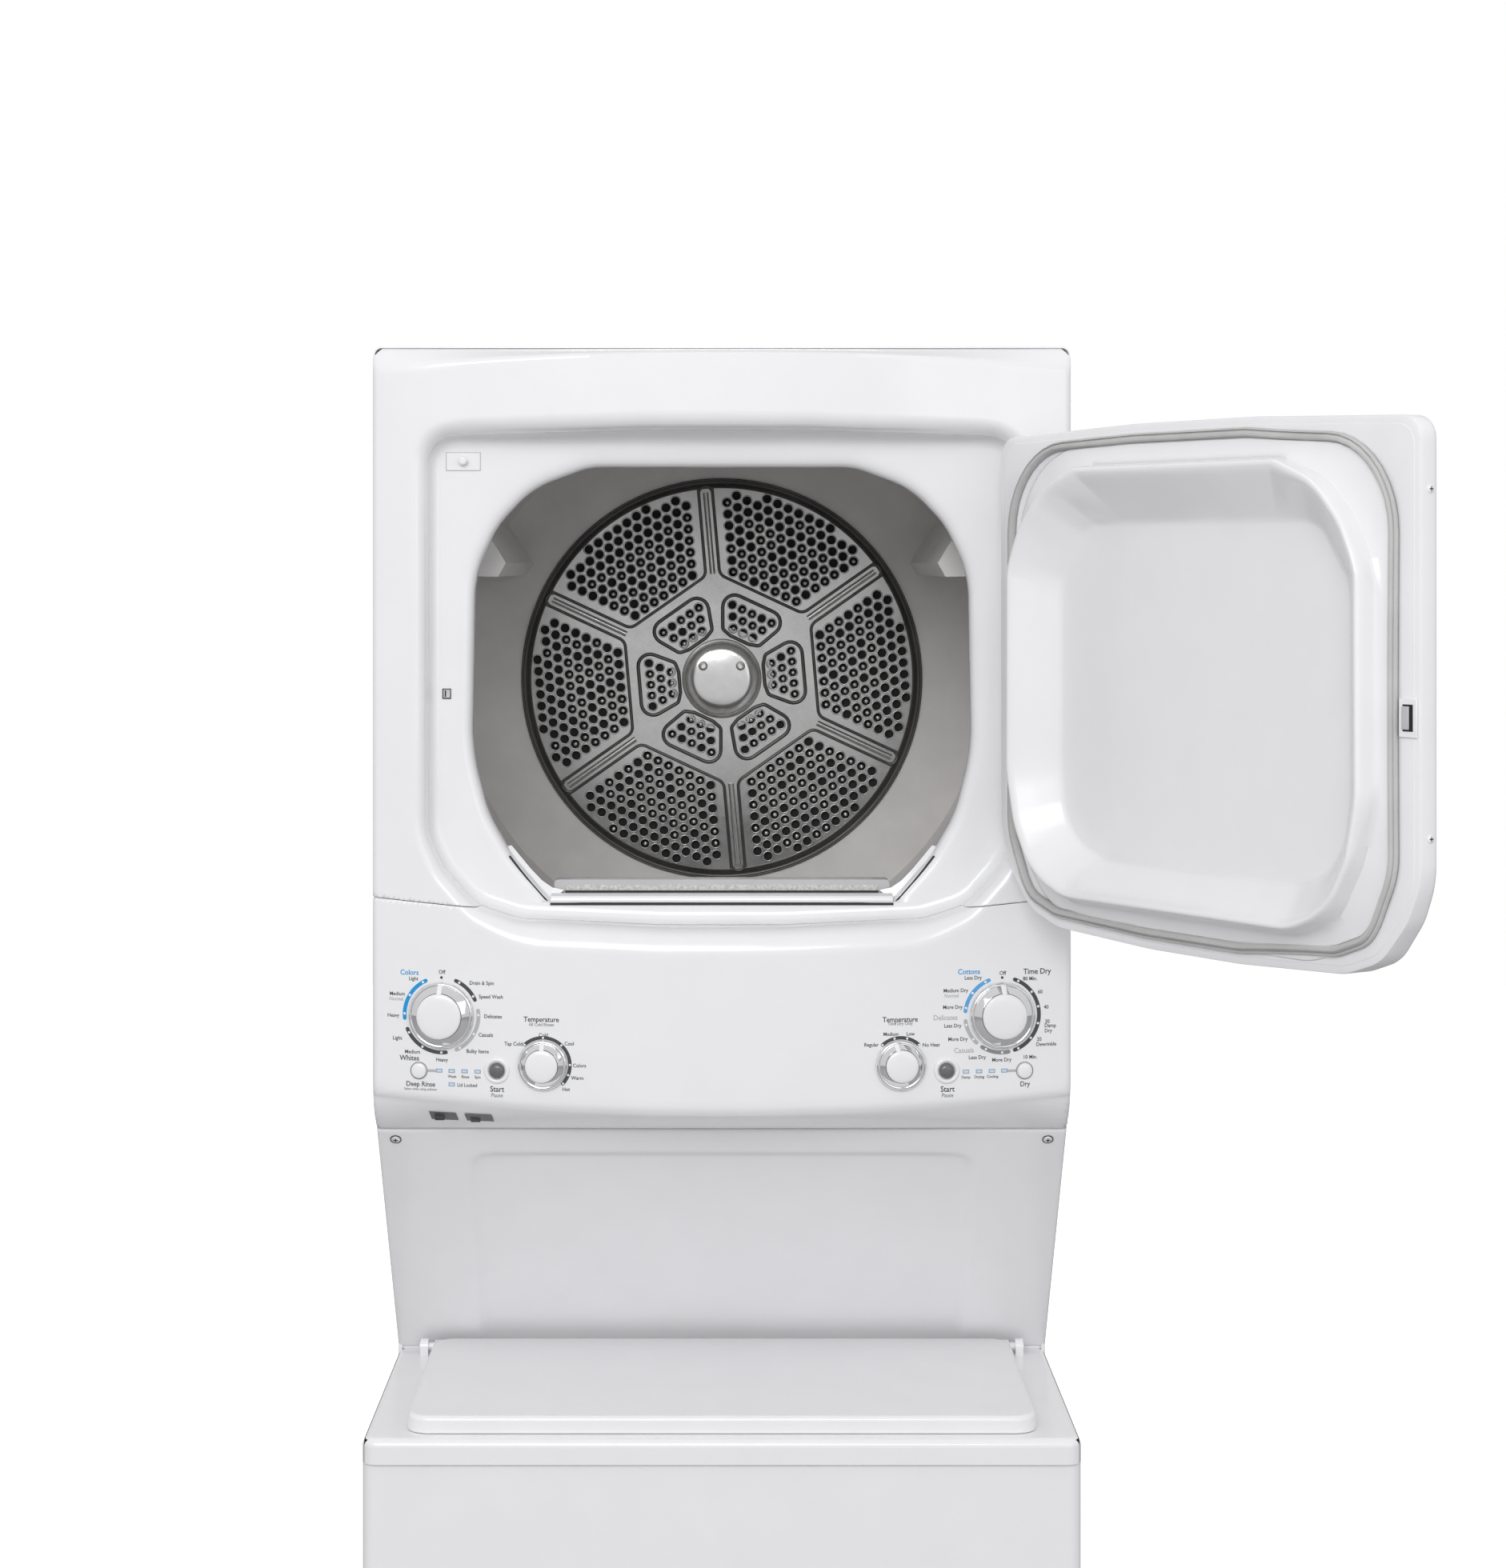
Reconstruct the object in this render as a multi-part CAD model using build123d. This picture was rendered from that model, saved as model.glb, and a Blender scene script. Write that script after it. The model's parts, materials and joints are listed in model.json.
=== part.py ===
"""A stacked laundry centre: a tumble dryer over a top-loading washer in one tall cabinet.

Millimetres. X is right as seen from the front, the front faces -Y, Z is up, and the
origin is on the floor at the middle of the footprint. The dryer door is modelled shut
and written at its rest angle, wide open. Every function makes one sub-part.
"""
from build123d import *
import math
import os

# ---- cabinet ----
WIDTH = 680.0
HEIGHT = 1927.0
HALF = WIDTH / 2
BACK = 360.0                 # back face of the cabinet
PIPE_END = 392.0             # how far the rear pipes stand out
SHEET = 1.5                  # painted sheet steel
WASHER_FRONT = -392.0
WASHER_SIDE_FRONT = -360.0   # where the washer front panel meets the side panels
DECK_TOP = 890.0
DECK_BOTTOM = 866.0
FRAME_TOP = 60.0

# ---- dryer front, bowed in plan ----
CROWN = -335.0               # front of the bow, at the middle
EDGE = -300.0                # front of the bow, at the cabinet's sides
BOW = EDGE - CROWN
BOW_RADIUS = (HALF ** 2 + BOW ** 2) / (2 * BOW)
RETURN = -280.0              # where the front panels meet the side panels
SEAM_SIDE = 1391.0           # seam between front panel and console, at the sides
SEAM_TIP = (237.0, 1382.0)   # where the seam meets the door recess
SEAM_TOP = (196.0, 1370.0)
SEAM_MIDDLE = 1364.0
SEAM_GAP = 0.3
CONSOLE_WALL = 2.5
CHIN = 1190.0                # where the console turns under
SLOPE_TOP = (-263.0, 1158.0)     # y, z of the slope panel's top edge
SLOPE_RATE = 0.755               # how far it recedes for each mm of drop
SLOPE_BOTTOM_Z = 893.0
SLOPE_DEPTH = 12.0

# ---- dryer door and its opening ----
RECESS_FLOOR = -281.0
RECESS_HALF = 286.0
DOOR_GAP = 7.0               # between the door's side edges and the recess wall
DOOR_GAP_TOP = 3.0           # the same at its top and bottom
DOOR_FLANGE = -290.0         # plane of the door's inner flange
DOOR_TOP = 1845.0
DOOR_TOP_SIDE = 1839.0
OPENING_TOP = 1810.0
OPENING_BOTTOM = 1387.0
OPENING_HALF = 245.0
OPENING = [(130, OPENING_TOP), (186, 1789), (219, 1754), (242, 1707), (OPENING_HALF, 1532),
           (229, 1470), (205, 1428), (169, OPENING_BOTTOM)]     # right half, top to bottom
HINGE_X = 283.0
HINGE_Y = -309.0
DOOR_REST_ANGLE = 122.0
HINGE_HEIGHTS = (1765.0, 1495.0)
CATCH_Z = 1590.0
SWITCH_X = -253.0
SWITCH_Z = 1816.0
SWITCH_RADIUS = 4.4

# ---- drum ----
DRUM_Z = 1580.0
DRUM_RADIUS = 311.0
DRUM_SHEET = 1.2
DRUM_FRONT = -226.0
DRUM_REAR = 322.0
GRILLE_RADIUS = 236.0
HUB_RADIUS = 42.0
BAFFLE_ANGLES = (30.0, 150.0, 270.0)
BULKHEAD_FRONT = -236.0

# ---- dryer air path and drive ----
MOTOR_Z = 1150.0
BLOWER_FRONT = -112.0
BLOWER_REAR = -40.0
BLOWER_RADIUS = 105.0
DUCT_X = 170.0
DUCT_Z = 1030.0
DUCT_RADIUS = 50.8
SHELF_Z = 905.0
BELT_Y = 156.0
BELT_WIDTH = 8.0

# ---- controls: x and z on the console ----
TIMER_KNOB = (271.5, 1278.0)
TIMER_RADII = (32.0, 21.8)       # plated ring, raised cap
SMALL_KNOB = (172.4, 1232.0)
SMALL_RADII = (24.0, 15.6)
HEAT_POINTER = 17.0              # the heat knob rests one stop round, in degrees
START_BUTTON = (217.2, 1225.6)
START_RADIUS = 7.8
ROUND_BUTTON = (293.6, 1223.8)
ROUND_RADIUS = 7.4
LENS_COLUMNS = (236.0, 248.8, 261.4, 273.6)
LENS_Z = 1224.3
SHAFT_LENGTH = 30.0
SHAFT_RADIUS = 4.0
SWITCHES = ((-275.0, 1177.0), (-240.0, 1175.0))

# ---- washer ----
TUB_Y = -105.0
TUB_RADIUS = 262.0
TUB_FLOOR = 250.0
TUB_TOP = 800.0
BASKET_RADIUS = 245.0
BASKET_FLOOR = 276.0
BASKET_TOP = 770.0
BASKET_MOUTH = 205.0
LID_HALF = 300.0
LID_FRONT = -374.0
LID_REAR = -84.0
LID_HINGE_Z = 898.0
LID_THICK = 16.0
DECK_REAR = -61.0

# ---- services at the back ----
VALVE_X = (-270.0, -215.0)
VALVE_Z = 800.0
INLET_RADIUS = 13.3
DRAIN_X = 180.0
DRAIN_Y = 220.0
DRAIN_Z = 118.0
DRAIN_RADIUS = 15.0
DUCT_COLLAR = 30.0           # length of the rear pipe that a duct is pushed over
SPIGOT_END = PIPE_END - 4
SPIGOT = 24.0                # length of each hose spigot
PIPE_STEP = 0.6              # the pipes are this much thinner ahead of their ends

FOOT_X = 290.0
FOOT_Y = (-320.0, 320.0)


# ---- helpers ----
def box(x0, x1, y0, y1, z0, z1):
    """Box between two corners."""
    return Pos((x0 + x1) / 2, (y0 + y1) / 2, (z0 + z1) / 2) * Box(x1 - x0, y1 - y0, z1 - z0)


def rod_y(x, z, radius, y0, y1):
    """Cylinder along Y."""
    return Pos(x, (y0 + y1) / 2, z) * Rot(90, 0, 0) * Cylinder(radius, y1 - y0)


def rod_z(x, y, radius, z0, z1):
    """Cylinder along Z."""
    return Pos(x, y, (z0 + z1) / 2) * Cylinder(radius, z1 - z0)


def tube_y(x, z, outer, inner, y0, y1):
    """Open tube along Y."""
    return rod_y(x, z, outer, y0, y1) - rod_y(x, z, inner, y0, y1)


def tube_z(x, y, outer, inner, z0, z1):
    """Open tube along Z."""
    return rod_z(x, y, outer, z0, z1) - rod_z(x, y, inner, z0, z1)


def at_y(face, y):
    """Stand an outline drawn in X and Z at the depth y."""
    return Plane(origin=(0, y, 0), x_dir=(1, 0, 0), z_dir=(0, -1, 0)) * face


def plate(face, y0, y1):
    """Extrude an outline drawn in X and Z between two depths."""
    return extrude(at_y(face, y1), amount=y1 - y0)


def polygon(points):
    """Face inside a list of corners."""
    return make_face(Polyline(*points, close=True))


def frustum(face0, y0, face1, y1):
    """Straight-sided body between two outlines at two depths."""
    return loft([at_y(face0, y0).faces()[0], at_y(face1, y1).faces()[0]])


def bow_y(x):
    """Depth of the bowed front at x."""
    return CROWN + BOW_RADIUS - math.sqrt(BOW_RADIUS ** 2 - x ** 2)


def bowed(half, inset, back, z0, z1):
    """Block with the bowed front, its front face `inset` behind the outer one."""
    radius = BOW_RADIUS - inset
    side = CROWN + BOW_RADIUS - math.sqrt(radius ** 2 - half ** 2)
    front = ThreePointArc((-half, side), (0, CROWN + inset), (half, side))
    rest = Polyline((half, side), (half, back), (-half, back), (-half, side))
    return extrude(Pos(0, 0, z0) * make_face([front, rest]), amount=z1 - z0)


def on_front(x, z, lift=0.0):
    """Plane on the bowed front at x, z, facing straight out of it."""
    lean = math.asin(x / BOW_RADIUS)
    out = (math.sin(lean), -math.cos(lean))
    origin = (x + out[0] * lift, bow_y(x) + out[1] * lift, z)
    return Plane(origin=origin, x_dir=(math.cos(lean), math.sin(lean), 0), z_dir=(*out, 0))


def disc_on(plane, radius, z0, z1):
    """Cylinder on a plane between two heights above it."""
    return plane * Pos(0, 0, (z0 + z1) / 2) * Cylinder(radius, z1 - z0)


def block_on(plane, width, height, z0, z1):
    """Box on a plane between two heights above it."""
    return plane * Pos(0, 0, (z0 + z1) / 2) * Box(width, height, z1 - z0)


def mirrored(points):
    """Close a half outline, given from top to bottom at positive x, over to negative x."""
    return points + [(-x, z) for x, z in reversed(points)]


# ---- outlines on the dryer front ----
def door_face(side, top, bottom, corner):
    """The door recess seen from the front, drawn in by its sides, top and bottom."""
    half = [(80, DOOR_TOP - top), (RECESS_HALF - side, DOOR_TOP_SIDE - top),
            (RECESS_HALF - side, 1452 + bottom * 0.6), (270 - side, 1419 + bottom),
            (239 - side * 0.8, 1384 + bottom), (SEAM_TOP[0] - side * 0.6, SEAM_TOP[1] + bottom),
            (60, SEAM_MIDDLE + bottom)]
    face = polygon(mirrored(half))
    return fillet(face.vertices().group_by(Axis.Y)[-2], corner)


def liner_face(side, top, bottom):
    """The liner's outlines: the drum opening's shape, drawn in by its sides, top and bottom."""
    across = (OPENING_HALF - side) / OPENING_HALF
    tall = OPENING_TOP - OPENING_BOTTOM
    upright = (tall - top - bottom) / tall
    half = [(x * across, OPENING_BOTTOM + bottom + (z - OPENING_BOTTOM) * upright) for x, z in OPENING]
    return polygon(mirrored(half))


def opening_face(grow=0.0):
    """The eight-sided drum opening, drawn out by `grow`."""
    face = polygon(mirrored(OPENING))
    if grow:
        face = offset(face, amount=grow, kind=Kind.INTERSECTION)
    return face


def above_seam(gap):
    """Slab over everything in front that is above the seam with the console."""
    seam = [(-HALF - 1, SEAM_SIDE), (-SEAM_TIP[0], SEAM_TIP[1]), (-SEAM_TOP[0], SEAM_TOP[1]),
            (0, SEAM_MIDDLE), SEAM_TOP, SEAM_TIP, (HALF + 1, SEAM_SIDE)]
    points = [(x, z + gap) for x, z in seam] + [(HALF + 1, HEIGHT + 10), (-HALF - 1, HEIGHT + 10)]
    return plate(polygon(points), CROWN - 10, RETURN + 30)


# ---- cabinet ----
def slope_y(z):
    """Depth of the slope panel's face at height z."""
    return SLOPE_TOP[0] + (SLOPE_TOP[1] - z) * SLOPE_RATE


def base_frame():
    """Welded frame of folded channel with a corner block over each foot."""
    x, y0, y1 = HALF - SHEET - 1, -345.0, BACK - 2 * SHEET - 0.2
    rails = box(-x, x, y0, y1, 25, FRAME_TOP) - box(-x + 30, x - 30, y0 + 30, y1 - 30, 24, FRAME_TOP + 1)
    hollow = box(-x + 2, x - 2, y0 + 2, y1 - 2, 27, FRAME_TOP - 2)
    hollow -= box(-x + 28, x - 28, y0 + 28, y1 - 28, 24, FRAME_TOP)
    frame = rails - hollow
    for sx in (-1, 1):
        for fy in FOOT_Y:
            frame += rod_z(sx * FOOT_X, fy, 16, 27, FRAME_TOP - 2)
            frame -= rod_z(sx * FOOT_X, fy, 5.1, 20, FRAME_TOP + 1)
    for sx in (-1, 1):
        frame += box(sx * 250 - 15, sx * 250 + 15, -316, 331, 40, 43) - rod_z(sx * 250, 0, 4, 39, 44)
    return frame


def leveling_feet():
    """Four threaded feet with rubber pads."""
    feet = []
    for sx in (-1, 1):
        for fy in FOOT_Y:
            pad = rod_z(sx * FOOT_X, fy, 19, 0, 12)
            pad = chamfer(pad.edges().group_by(Axis.Z)[0], 1.5)
            nut = Pos(sx * FOOT_X, fy, 12) * extrude(RegularPolygon(9, 6), amount=7)
            feet.append(pad + nut + rod_z(sx * FOOT_X, fy, 5, 12, FRAME_TOP - 4))
    return Compound(feet)


def side_profile():
    """Side panel outline in Y and Z: washer below, dryer above, the slope between."""
    top = (slope_y(SLOPE_TOP[1]) + SLOPE_DEPTH + 3, SLOPE_TOP[1] + 2)
    low = (slope_y(SLOPE_BOTTOM_Z) + SLOPE_DEPTH + 3, SLOPE_BOTTOM_Z)
    return [(BACK, 27), (BACK, 1908), (RETURN, 1908), (RETURN, CHIN), top, low,
            (low[0], DECK_BOTTOM), (WASHER_SIDE_FRONT, DECK_BOTTOM),
            (WASHER_SIDE_FRONT, FRAME_TOP), (-346, FRAME_TOP), (-346, 27)]


def side_panel(sign):
    """One full-height side of painted sheet with its rear and front flanges."""
    plane = Plane(origin=(sign * HALF, 0, 0), x_dir=(0, 1, 0), z_dir=(1, 0, 0))
    panel = extrude(plane * polygon(side_profile()), amount=-sign * SHEET)
    inner = sign * (HALF - SHEET)
    flange = sign * (HALF - 16)
    x0, x1 = sorted((inner, flange))
    panel += box(x0, x1, BACK - 3 * SHEET, BACK - 2 * SHEET, 70, 1900)
    panel += box(x0, x1, RETURN + 2, RETURN + 2 + SHEET, 1200, 1900)
    panel += box(x0, x1, WASHER_SIDE_FRONT + 2, WASHER_SIDE_FRONT + 2 + SHEET, 70, DECK_BOTTOM - 10)
    bead = sign * (HALF - SHEET - 3)
    x0, x1 = sorted((inner, bead))
    for z in (300, 620):
        panel += box(x0, x1, -300, 300, z, z + 12)
    return panel


def washer_front_panel():
    """Flat washer front with rounded upright edges and a folded top and bottom."""
    y = WASHER_FRONT + 4
    outer = box(-HALF, HALF, y, WASHER_SIDE_FRONT, FRAME_TOP + 2, DECK_BOTTOM - 0.5)
    outer = fillet(outer.edges().filter_by(Axis.Z).group_by(Axis.Y)[0], 12)
    inner = box(-HALF + SHEET, HALF - SHEET, y + SHEET, WASHER_SIDE_FRONT + 5,
                FRAME_TOP + 2 + SHEET, DECK_BOTTOM - 0.5 - SHEET)
    inner = fillet(inner.edges().filter_by(Axis.Z).group_by(Axis.Y)[0], 10.5)
    return outer - inner


def washer_top_deck():
    """Pressed deck with a rolled front edge, a well lip and the lid's hinge ears."""
    outer = box(-HALF, HALF, WASHER_FRONT, DECK_REAR, DECK_BOTTOM, DECK_TOP)
    outer = fillet(outer.edges().filter_by(Axis.Z).group_by(Axis.Y)[0], 14)
    outer = fillet(outer.edges().filter_by(Axis.X).group_by(Axis.Y)[0].group_by(Axis.Z)[-1], 8)
    inner = box(-HALF + 2, HALF - 2, WASHER_FRONT + 6, DECK_REAR - 2, DECK_BOTTOM - 5, DECK_TOP - 2)
    well = box(-262, 262, -352, -108, DECK_BOTTOM - 5, DECK_TOP + 5)
    well = fillet(well.edges().filter_by(Axis.Z), 60)
    lip = box(-265, 265, -355, -105, DECK_BOTTOM, DECK_TOP - 1)
    lip = fillet(lip.edges().filter_by(Axis.Z), 63)
    deck = outer - inner + lip - well
    for x in (-HALF + 30, HALF - 30):
        ear = box(x - 4, x + 4, LID_REAR - 8, LID_REAR + 8, DECK_TOP, LID_HINGE_Z)
        ear += Pos(x, LID_REAR, LID_HINGE_Z) * Rot(0, 90, 0) * Cylinder(8, 8)
        bore = Pos(x, LID_REAR, LID_HINGE_Z) * Rot(0, 90, 0) * Cylinder(4.05, 20)
        deck += ear - bore
    return deck


def rear_panel():
    """Back sheet with stiffening beads and holes for the duct and pipes."""
    x = HALF - SHEET - 0.5
    y0 = BACK - 2 * SHEET
    panel = box(-x, x, y0, BACK - SHEET, 30, 1905)
    for z in (480, 1180, 1500, 1700):
        panel += box(-250, 250, BACK - SHEET, BACK - SHEET + 4, z, z + 14)
    panel -= rod_y(DUCT_X, DUCT_Z, DUCT_RADIUS + 1, y0 - 1, BACK + 5)
    for vx in VALVE_X:
        panel -= rod_y(vx, VALVE_Z, INLET_RADIUS + 1, y0 - 1, BACK + 5)
    panel -= rod_y(DRAIN_X, DRAIN_Z, DRAIN_RADIUS + 1, y0 - 1, BACK + 5)
    terminal = box(-300, -200, BACK - SHEET, BACK + 22, 1040, 1120)
    terminal -= box(-298, -202, BACK - SHEET - 1, BACK + 20, 1042, 1118)
    terminal -= rod_z(-250, BACK + 9, 8, 1030, 1043)
    return panel + terminal


def top_cover():
    """Top sheet turned down over the sides."""
    front = RETURN - 12
    outer = box(-HALF, HALF, front, BACK, 1908.5, HEIGHT)
    outer = fillet(outer.edges().filter_by(Axis.Y).group_by(Axis.Z)[-1], 8.5)
    inner = box(-HALF + SHEET, HALF - SHEET, front - 5, BACK - SHEET, 1900, HEIGHT - SHEET)
    inner = fillet(inner.edges().filter_by(Axis.Y).group_by(Axis.Z)[-1], 7)
    return outer - inner


def dryer_front_panel():
    """Bowed front with the door recess, the drum opening and the hinge knuckles."""
    block = bowed(HALF, 0, RETURN, SEAM_MIDDLE - 5, HEIGHT - 2)
    lean = Plane.YZ * polygon([(CROWN - 5, 1903), (RETURN - 10, HEIGHT - 1.5),
                               (RETURN - 10, HEIGHT + 5), (CROWN - 5, HEIGHT + 5)])
    block -= extrude(lean, amount=HALF + 1, both=True)
    block = block & above_seam(SEAM_GAP)
    block -= box(-HALF - 1, HALF + 1, RETURN - 12.5, RETURN + 1, 1908, HEIGHT + 1)
    cavity = bowed(HALF - SHEET, SHEET, RETURN + 5, SEAM_MIDDLE - 9, 1895)
    cavity -= plate(door_face(-17, -17, -17, 40), CROWN - 10, RETURN + 10)
    block -= cavity
    groove = plate(door_face(-15.5, -15.5, -15.5, 38), -298, RETURN + 10)
    block -= groove - plate(door_face(-SHEET, -SHEET, -SHEET, 28), -299, RETURN + 11)
    recess = plate(door_face(0, 0, 0, 27), CROWN - 10, RECESS_FLOOR)
    recess += box(-196, 196, CROWN - 10, RECESS_FLOOR, SEAM_MIDDLE - 10, 1400)
    block -= recess
    bevel = polygon([(RECESS_HALF - 2, -296), (RECESS_HALF + 15.5, CROWN + 27.5),
                     (RECESS_HALF + 15.5, CROWN - 5), (RECESS_HALF - 2, CROWN - 5)])
    side_bevel = extrude(Pos(0, 0, 1450) * bevel, amount=370)
    block -= side_bevel + side_bevel.mirror(Plane.YZ)
    flange = plate(opening_face(SHEET), RETURN, RETURN + 18)
    floor_back = plate(door_face(-12, -12, -12, 36), RECESS_FLOOR, RETURN + 0.5) & above_seam(SEAM_GAP)
    block = block + floor_back + flange - plate(opening_face(), CROWN, RETURN + 40)
    for z in HINGE_HEIGHTS:
        for z0 in (z - 32, z + 16):
            knuckle = rod_z(HINGE_X, HINGE_Y, 2.7, z0, z0 + 16)
            knuckle += box(HINGE_X - 1.2, HINGE_X + 1.8, HINGE_Y, -288, z0, z0 + 16)
            knuckle += box(HINGE_X - 1.2, RECESS_HALF + 1, -292, -288, z0, z0 + 16)
            block += knuckle - rod_z(HINGE_X, HINGE_Y, 1.55, z0 - 1, z0 + 17)
    block -= box(-264.5, -245.5, RECESS_FLOOR - 1, RETURN + 2, 1809.5, 1822.5)
    block -= box(-273, -263, RECESS_FLOOR - 1, RETURN + 2, CATCH_Z - 14, CATCH_Z + 14)
    return block


def console_block(grow):
    """Solid shape of the console, drawn in by -grow."""
    open_back = 0 if grow == 0 else 8
    back = RETURN + open_back
    low_back = SLOPE_TOP[0] + open_back
    half = HALF + grow
    upper = bowed(half, -grow, back, CHIN, SEAM_SIDE + 20)
    foot_z = SLOPE_TOP[1] - grow
    foot_y = SLOPE_TOP[0] - 4
    side = CROWN + BOW_RADIUS - math.sqrt((BOW_RADIUS + grow) ** 2 - half ** 2)
    front = ThreePointArc((-half, side), (0, CROWN - grow), (half, side))
    top = make_face([front, Polyline((half, side), (half, back), (-half, back), (-half, side))])
    low = polygon([(-half, foot_y), (half, foot_y), (half, low_back), (-half, low_back)])
    chin = loft([(Pos(0, 0, CHIN) * top).faces()[0], (Pos(0, 0, foot_z) * low).faces()[0]], ruled=True)
    return upper + chin


def chin_plane(x, z):
    """Plane on the console's underside, facing down and forward."""
    reach = SLOPE_TOP[0] - 4 - bow_y(x)
    drop = CHIN - SLOPE_TOP[1]
    y = bow_y(x) + reach * (CHIN - z) / drop
    length = math.hypot(reach, drop)
    return Plane(origin=(x, y, z), x_dir=(1, 0, 0), z_dir=(0, -drop / length, -reach / length))


def lens_places():
    """Planes of the indicator windows."""
    places = [on_front(sign * x, LENS_Z) for sign in (-1, 1) for x in LENS_COLUMNS]
    return places + [on_front(-LENS_COLUMNS[2], LENS_Z - 13.0)]


def control_console():
    """Moulded console: bowed face, turned-under chin, holes for every control."""
    shell = console_block(0) - console_block(-CONSOLE_WALL)
    shell -= above_seam(-SEAM_GAP)
    step = [(-HALF + 1, SEAM_SIDE - 2), (-SEAM_TIP[0], SEAM_TIP[1] - 2), (-SEAM_TOP[0], SEAM_TOP[1] - 2),
            (0, SEAM_MIDDLE - 2), (SEAM_TOP[0], SEAM_TOP[1] - 2), (SEAM_TIP[0], SEAM_TIP[1] - 2),
            (HALF - 1, SEAM_SIDE - 2)]
    strip = [(x, z + 1.6) for x, z in step] + [(x, z - 0.6) for x, z in reversed(step)]
    top = plate(polygon(strip), CROWN - 5, RECESS_FLOOR + 0.5) & bowed(HALF - 1, 1, RETURN + 5, CHIN, 1400)
    shell += top
    for sign in (-1, 1):
        shell -= disc_on(on_front(sign * TIMER_KNOB[0], TIMER_KNOB[1]), 6, -8, 4)
        shell -= disc_on(on_front(sign * SMALL_KNOB[0], SMALL_KNOB[1]), 6, -8, 4)
        start = on_front(sign * START_BUTTON[0], START_BUTTON[1])
        shell += disc_on(start, 11, -1, 2)
        shell -= disc_on(start, 8.2, -8, 4)
        shell -= disc_on(on_front(sign * ROUND_BUTTON[0], ROUND_BUTTON[1]), 7.8, -8, 4)
    for place in lens_places():
        shell -= block_on(place, 5.5, 3, -8, 4)
    for x, z in SWITCHES:
        shell -= block_on(chin_plane(x, z), 28, 8, -8, 5)
    return shell


def slope_access_panel():
    """Flat panel leaning back under the console, with returns all round and a pressed field."""
    length = math.hypot(SLOPE_TOP[1] - SLOPE_BOTTOM_Z, slope_y(SLOPE_BOTTOM_Z) - SLOPE_TOP[0])
    drop = SLOPE_TOP[1] - SLOPE_BOTTOM_Z
    out = (0, -drop / length, -(slope_y(SLOPE_BOTTOM_Z) - SLOPE_TOP[0]) / length)
    plane = Plane(origin=(0, SLOPE_TOP[0], SLOPE_TOP[1]), x_dir=(1, 0, 0), z_dir=out)
    reach = -1 if plane.y_dir.Z > 0 else 1
    body = plane * Pos(0, reach * (length / 2 + 1), -SLOPE_DEPTH / 2) * Box(WIDTH, length - 2, SLOPE_DEPTH)
    hollow = plane * Pos(0, reach * (length / 2 + 1), -SLOPE_DEPTH / 2 - SHEET)
    hollow = hollow * Box(WIDTH - 2 * SHEET, length - 2 - 2 * SHEET, SLOPE_DEPTH)
    field = plane * Pos(0, reach * (length / 2 + 8), 0) * Box(500, length - 60, 2.4)
    field = fillet(field.edges().filter_by(Axis(origin=(0, 0, 0), direction=out)), 25)
    back = plane * Pos(0, reach * (length / 2 + 8), -2.6) * Box(504, length - 56, 2.8)
    back = back & body
    panel = body - hollow + back - field
    for sx in (-1, 1):
        panel -= plane * Pos(sx * 322, reach * 14, -1) * Cylinder(2.6, 6)
    return panel


def panel_screws():
    """Two screws through the top of the slope panel."""
    length = math.hypot(SLOPE_TOP[1] - SLOPE_BOTTOM_Z, slope_y(SLOPE_BOTTOM_Z) - SLOPE_TOP[0])
    out = (0, -(SLOPE_TOP[1] - SLOPE_BOTTOM_Z) / length, -(slope_y(SLOPE_BOTTOM_Z) - SLOPE_TOP[0]) / length)
    plane = Plane(origin=(0, SLOPE_TOP[0], SLOPE_TOP[1]), x_dir=(1, 0, 0), z_dir=out)
    reach = -1 if plane.y_dir.Z > 0 else 1
    screws = []
    for sx in (-1, 1):
        place = plane * Pos(sx * 322, reach * 14, 0)
        head = place * Pos(0, 0, 1.1) * Cylinder(5, 2.2) - place * Pos(0, 0, 2) * Box(6, 1.2, 1.6)
        screws.append(head + place * Pos(0, 0, -5) * Cylinder(2.1, 10))
    return Compound(screws)


def dryer_floor_shelf():
    """Shelf between washer and dryer that carries the blower and motor."""
    x = HALF - SHEET - 0.5
    shelf = box(-x, x, slope_y(SLOPE_BOTTOM_Z) + 17, BACK - 3 * SHEET - 0.5, SHELF_Z, SHELF_Z + 3)
    for y in (40, 200):
        shelf += box(-x + 20, x - 20, y, y + 3, SHELF_Z - 22, SHELF_Z)
    return shelf


# ---- dryer inside ----
def drum_front_bulkhead():
    """Plate behind the dryer front with the collar that the drum runs on."""
    x = HALF - 18
    body = box(-x, x, BULKHEAD_FRONT, BULKHEAD_FRONT + 2, 1262, 1885)
    body += tube_y(0, DRUM_Z, 296, 294, BULKHEAD_FRONT + 2, -202)
    return body - plate(opening_face(4), BULKHEAD_FRONT - 1, BULKHEAD_FRONT + 3)


def drum_front_felt():
    """Felt strip between the collar and the turning drum."""
    return tube_y(0, DRUM_Z, DRUM_RADIUS - DRUM_SHEET - 0.4, 296, DRUM_FRONT + 2, -204)


def drum_shell():
    """Drum wall, its rear ring and the turned-in rear edge."""
    wall = tube_y(0, DRUM_Z, DRUM_RADIUS, DRUM_RADIUS - DRUM_SHEET, DRUM_FRONT, DRUM_REAR)
    for y in (-60, 120, 250):
        wall += tube_y(0, DRUM_Z, DRUM_RADIUS + 1.0, DRUM_RADIUS - 0.5, y, y + 6)
    return wall + tube_y(0, DRUM_Z, DRUM_RADIUS, GRILLE_RADIUS - 4, DRUM_REAR - 1.5, DRUM_REAR)


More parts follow.
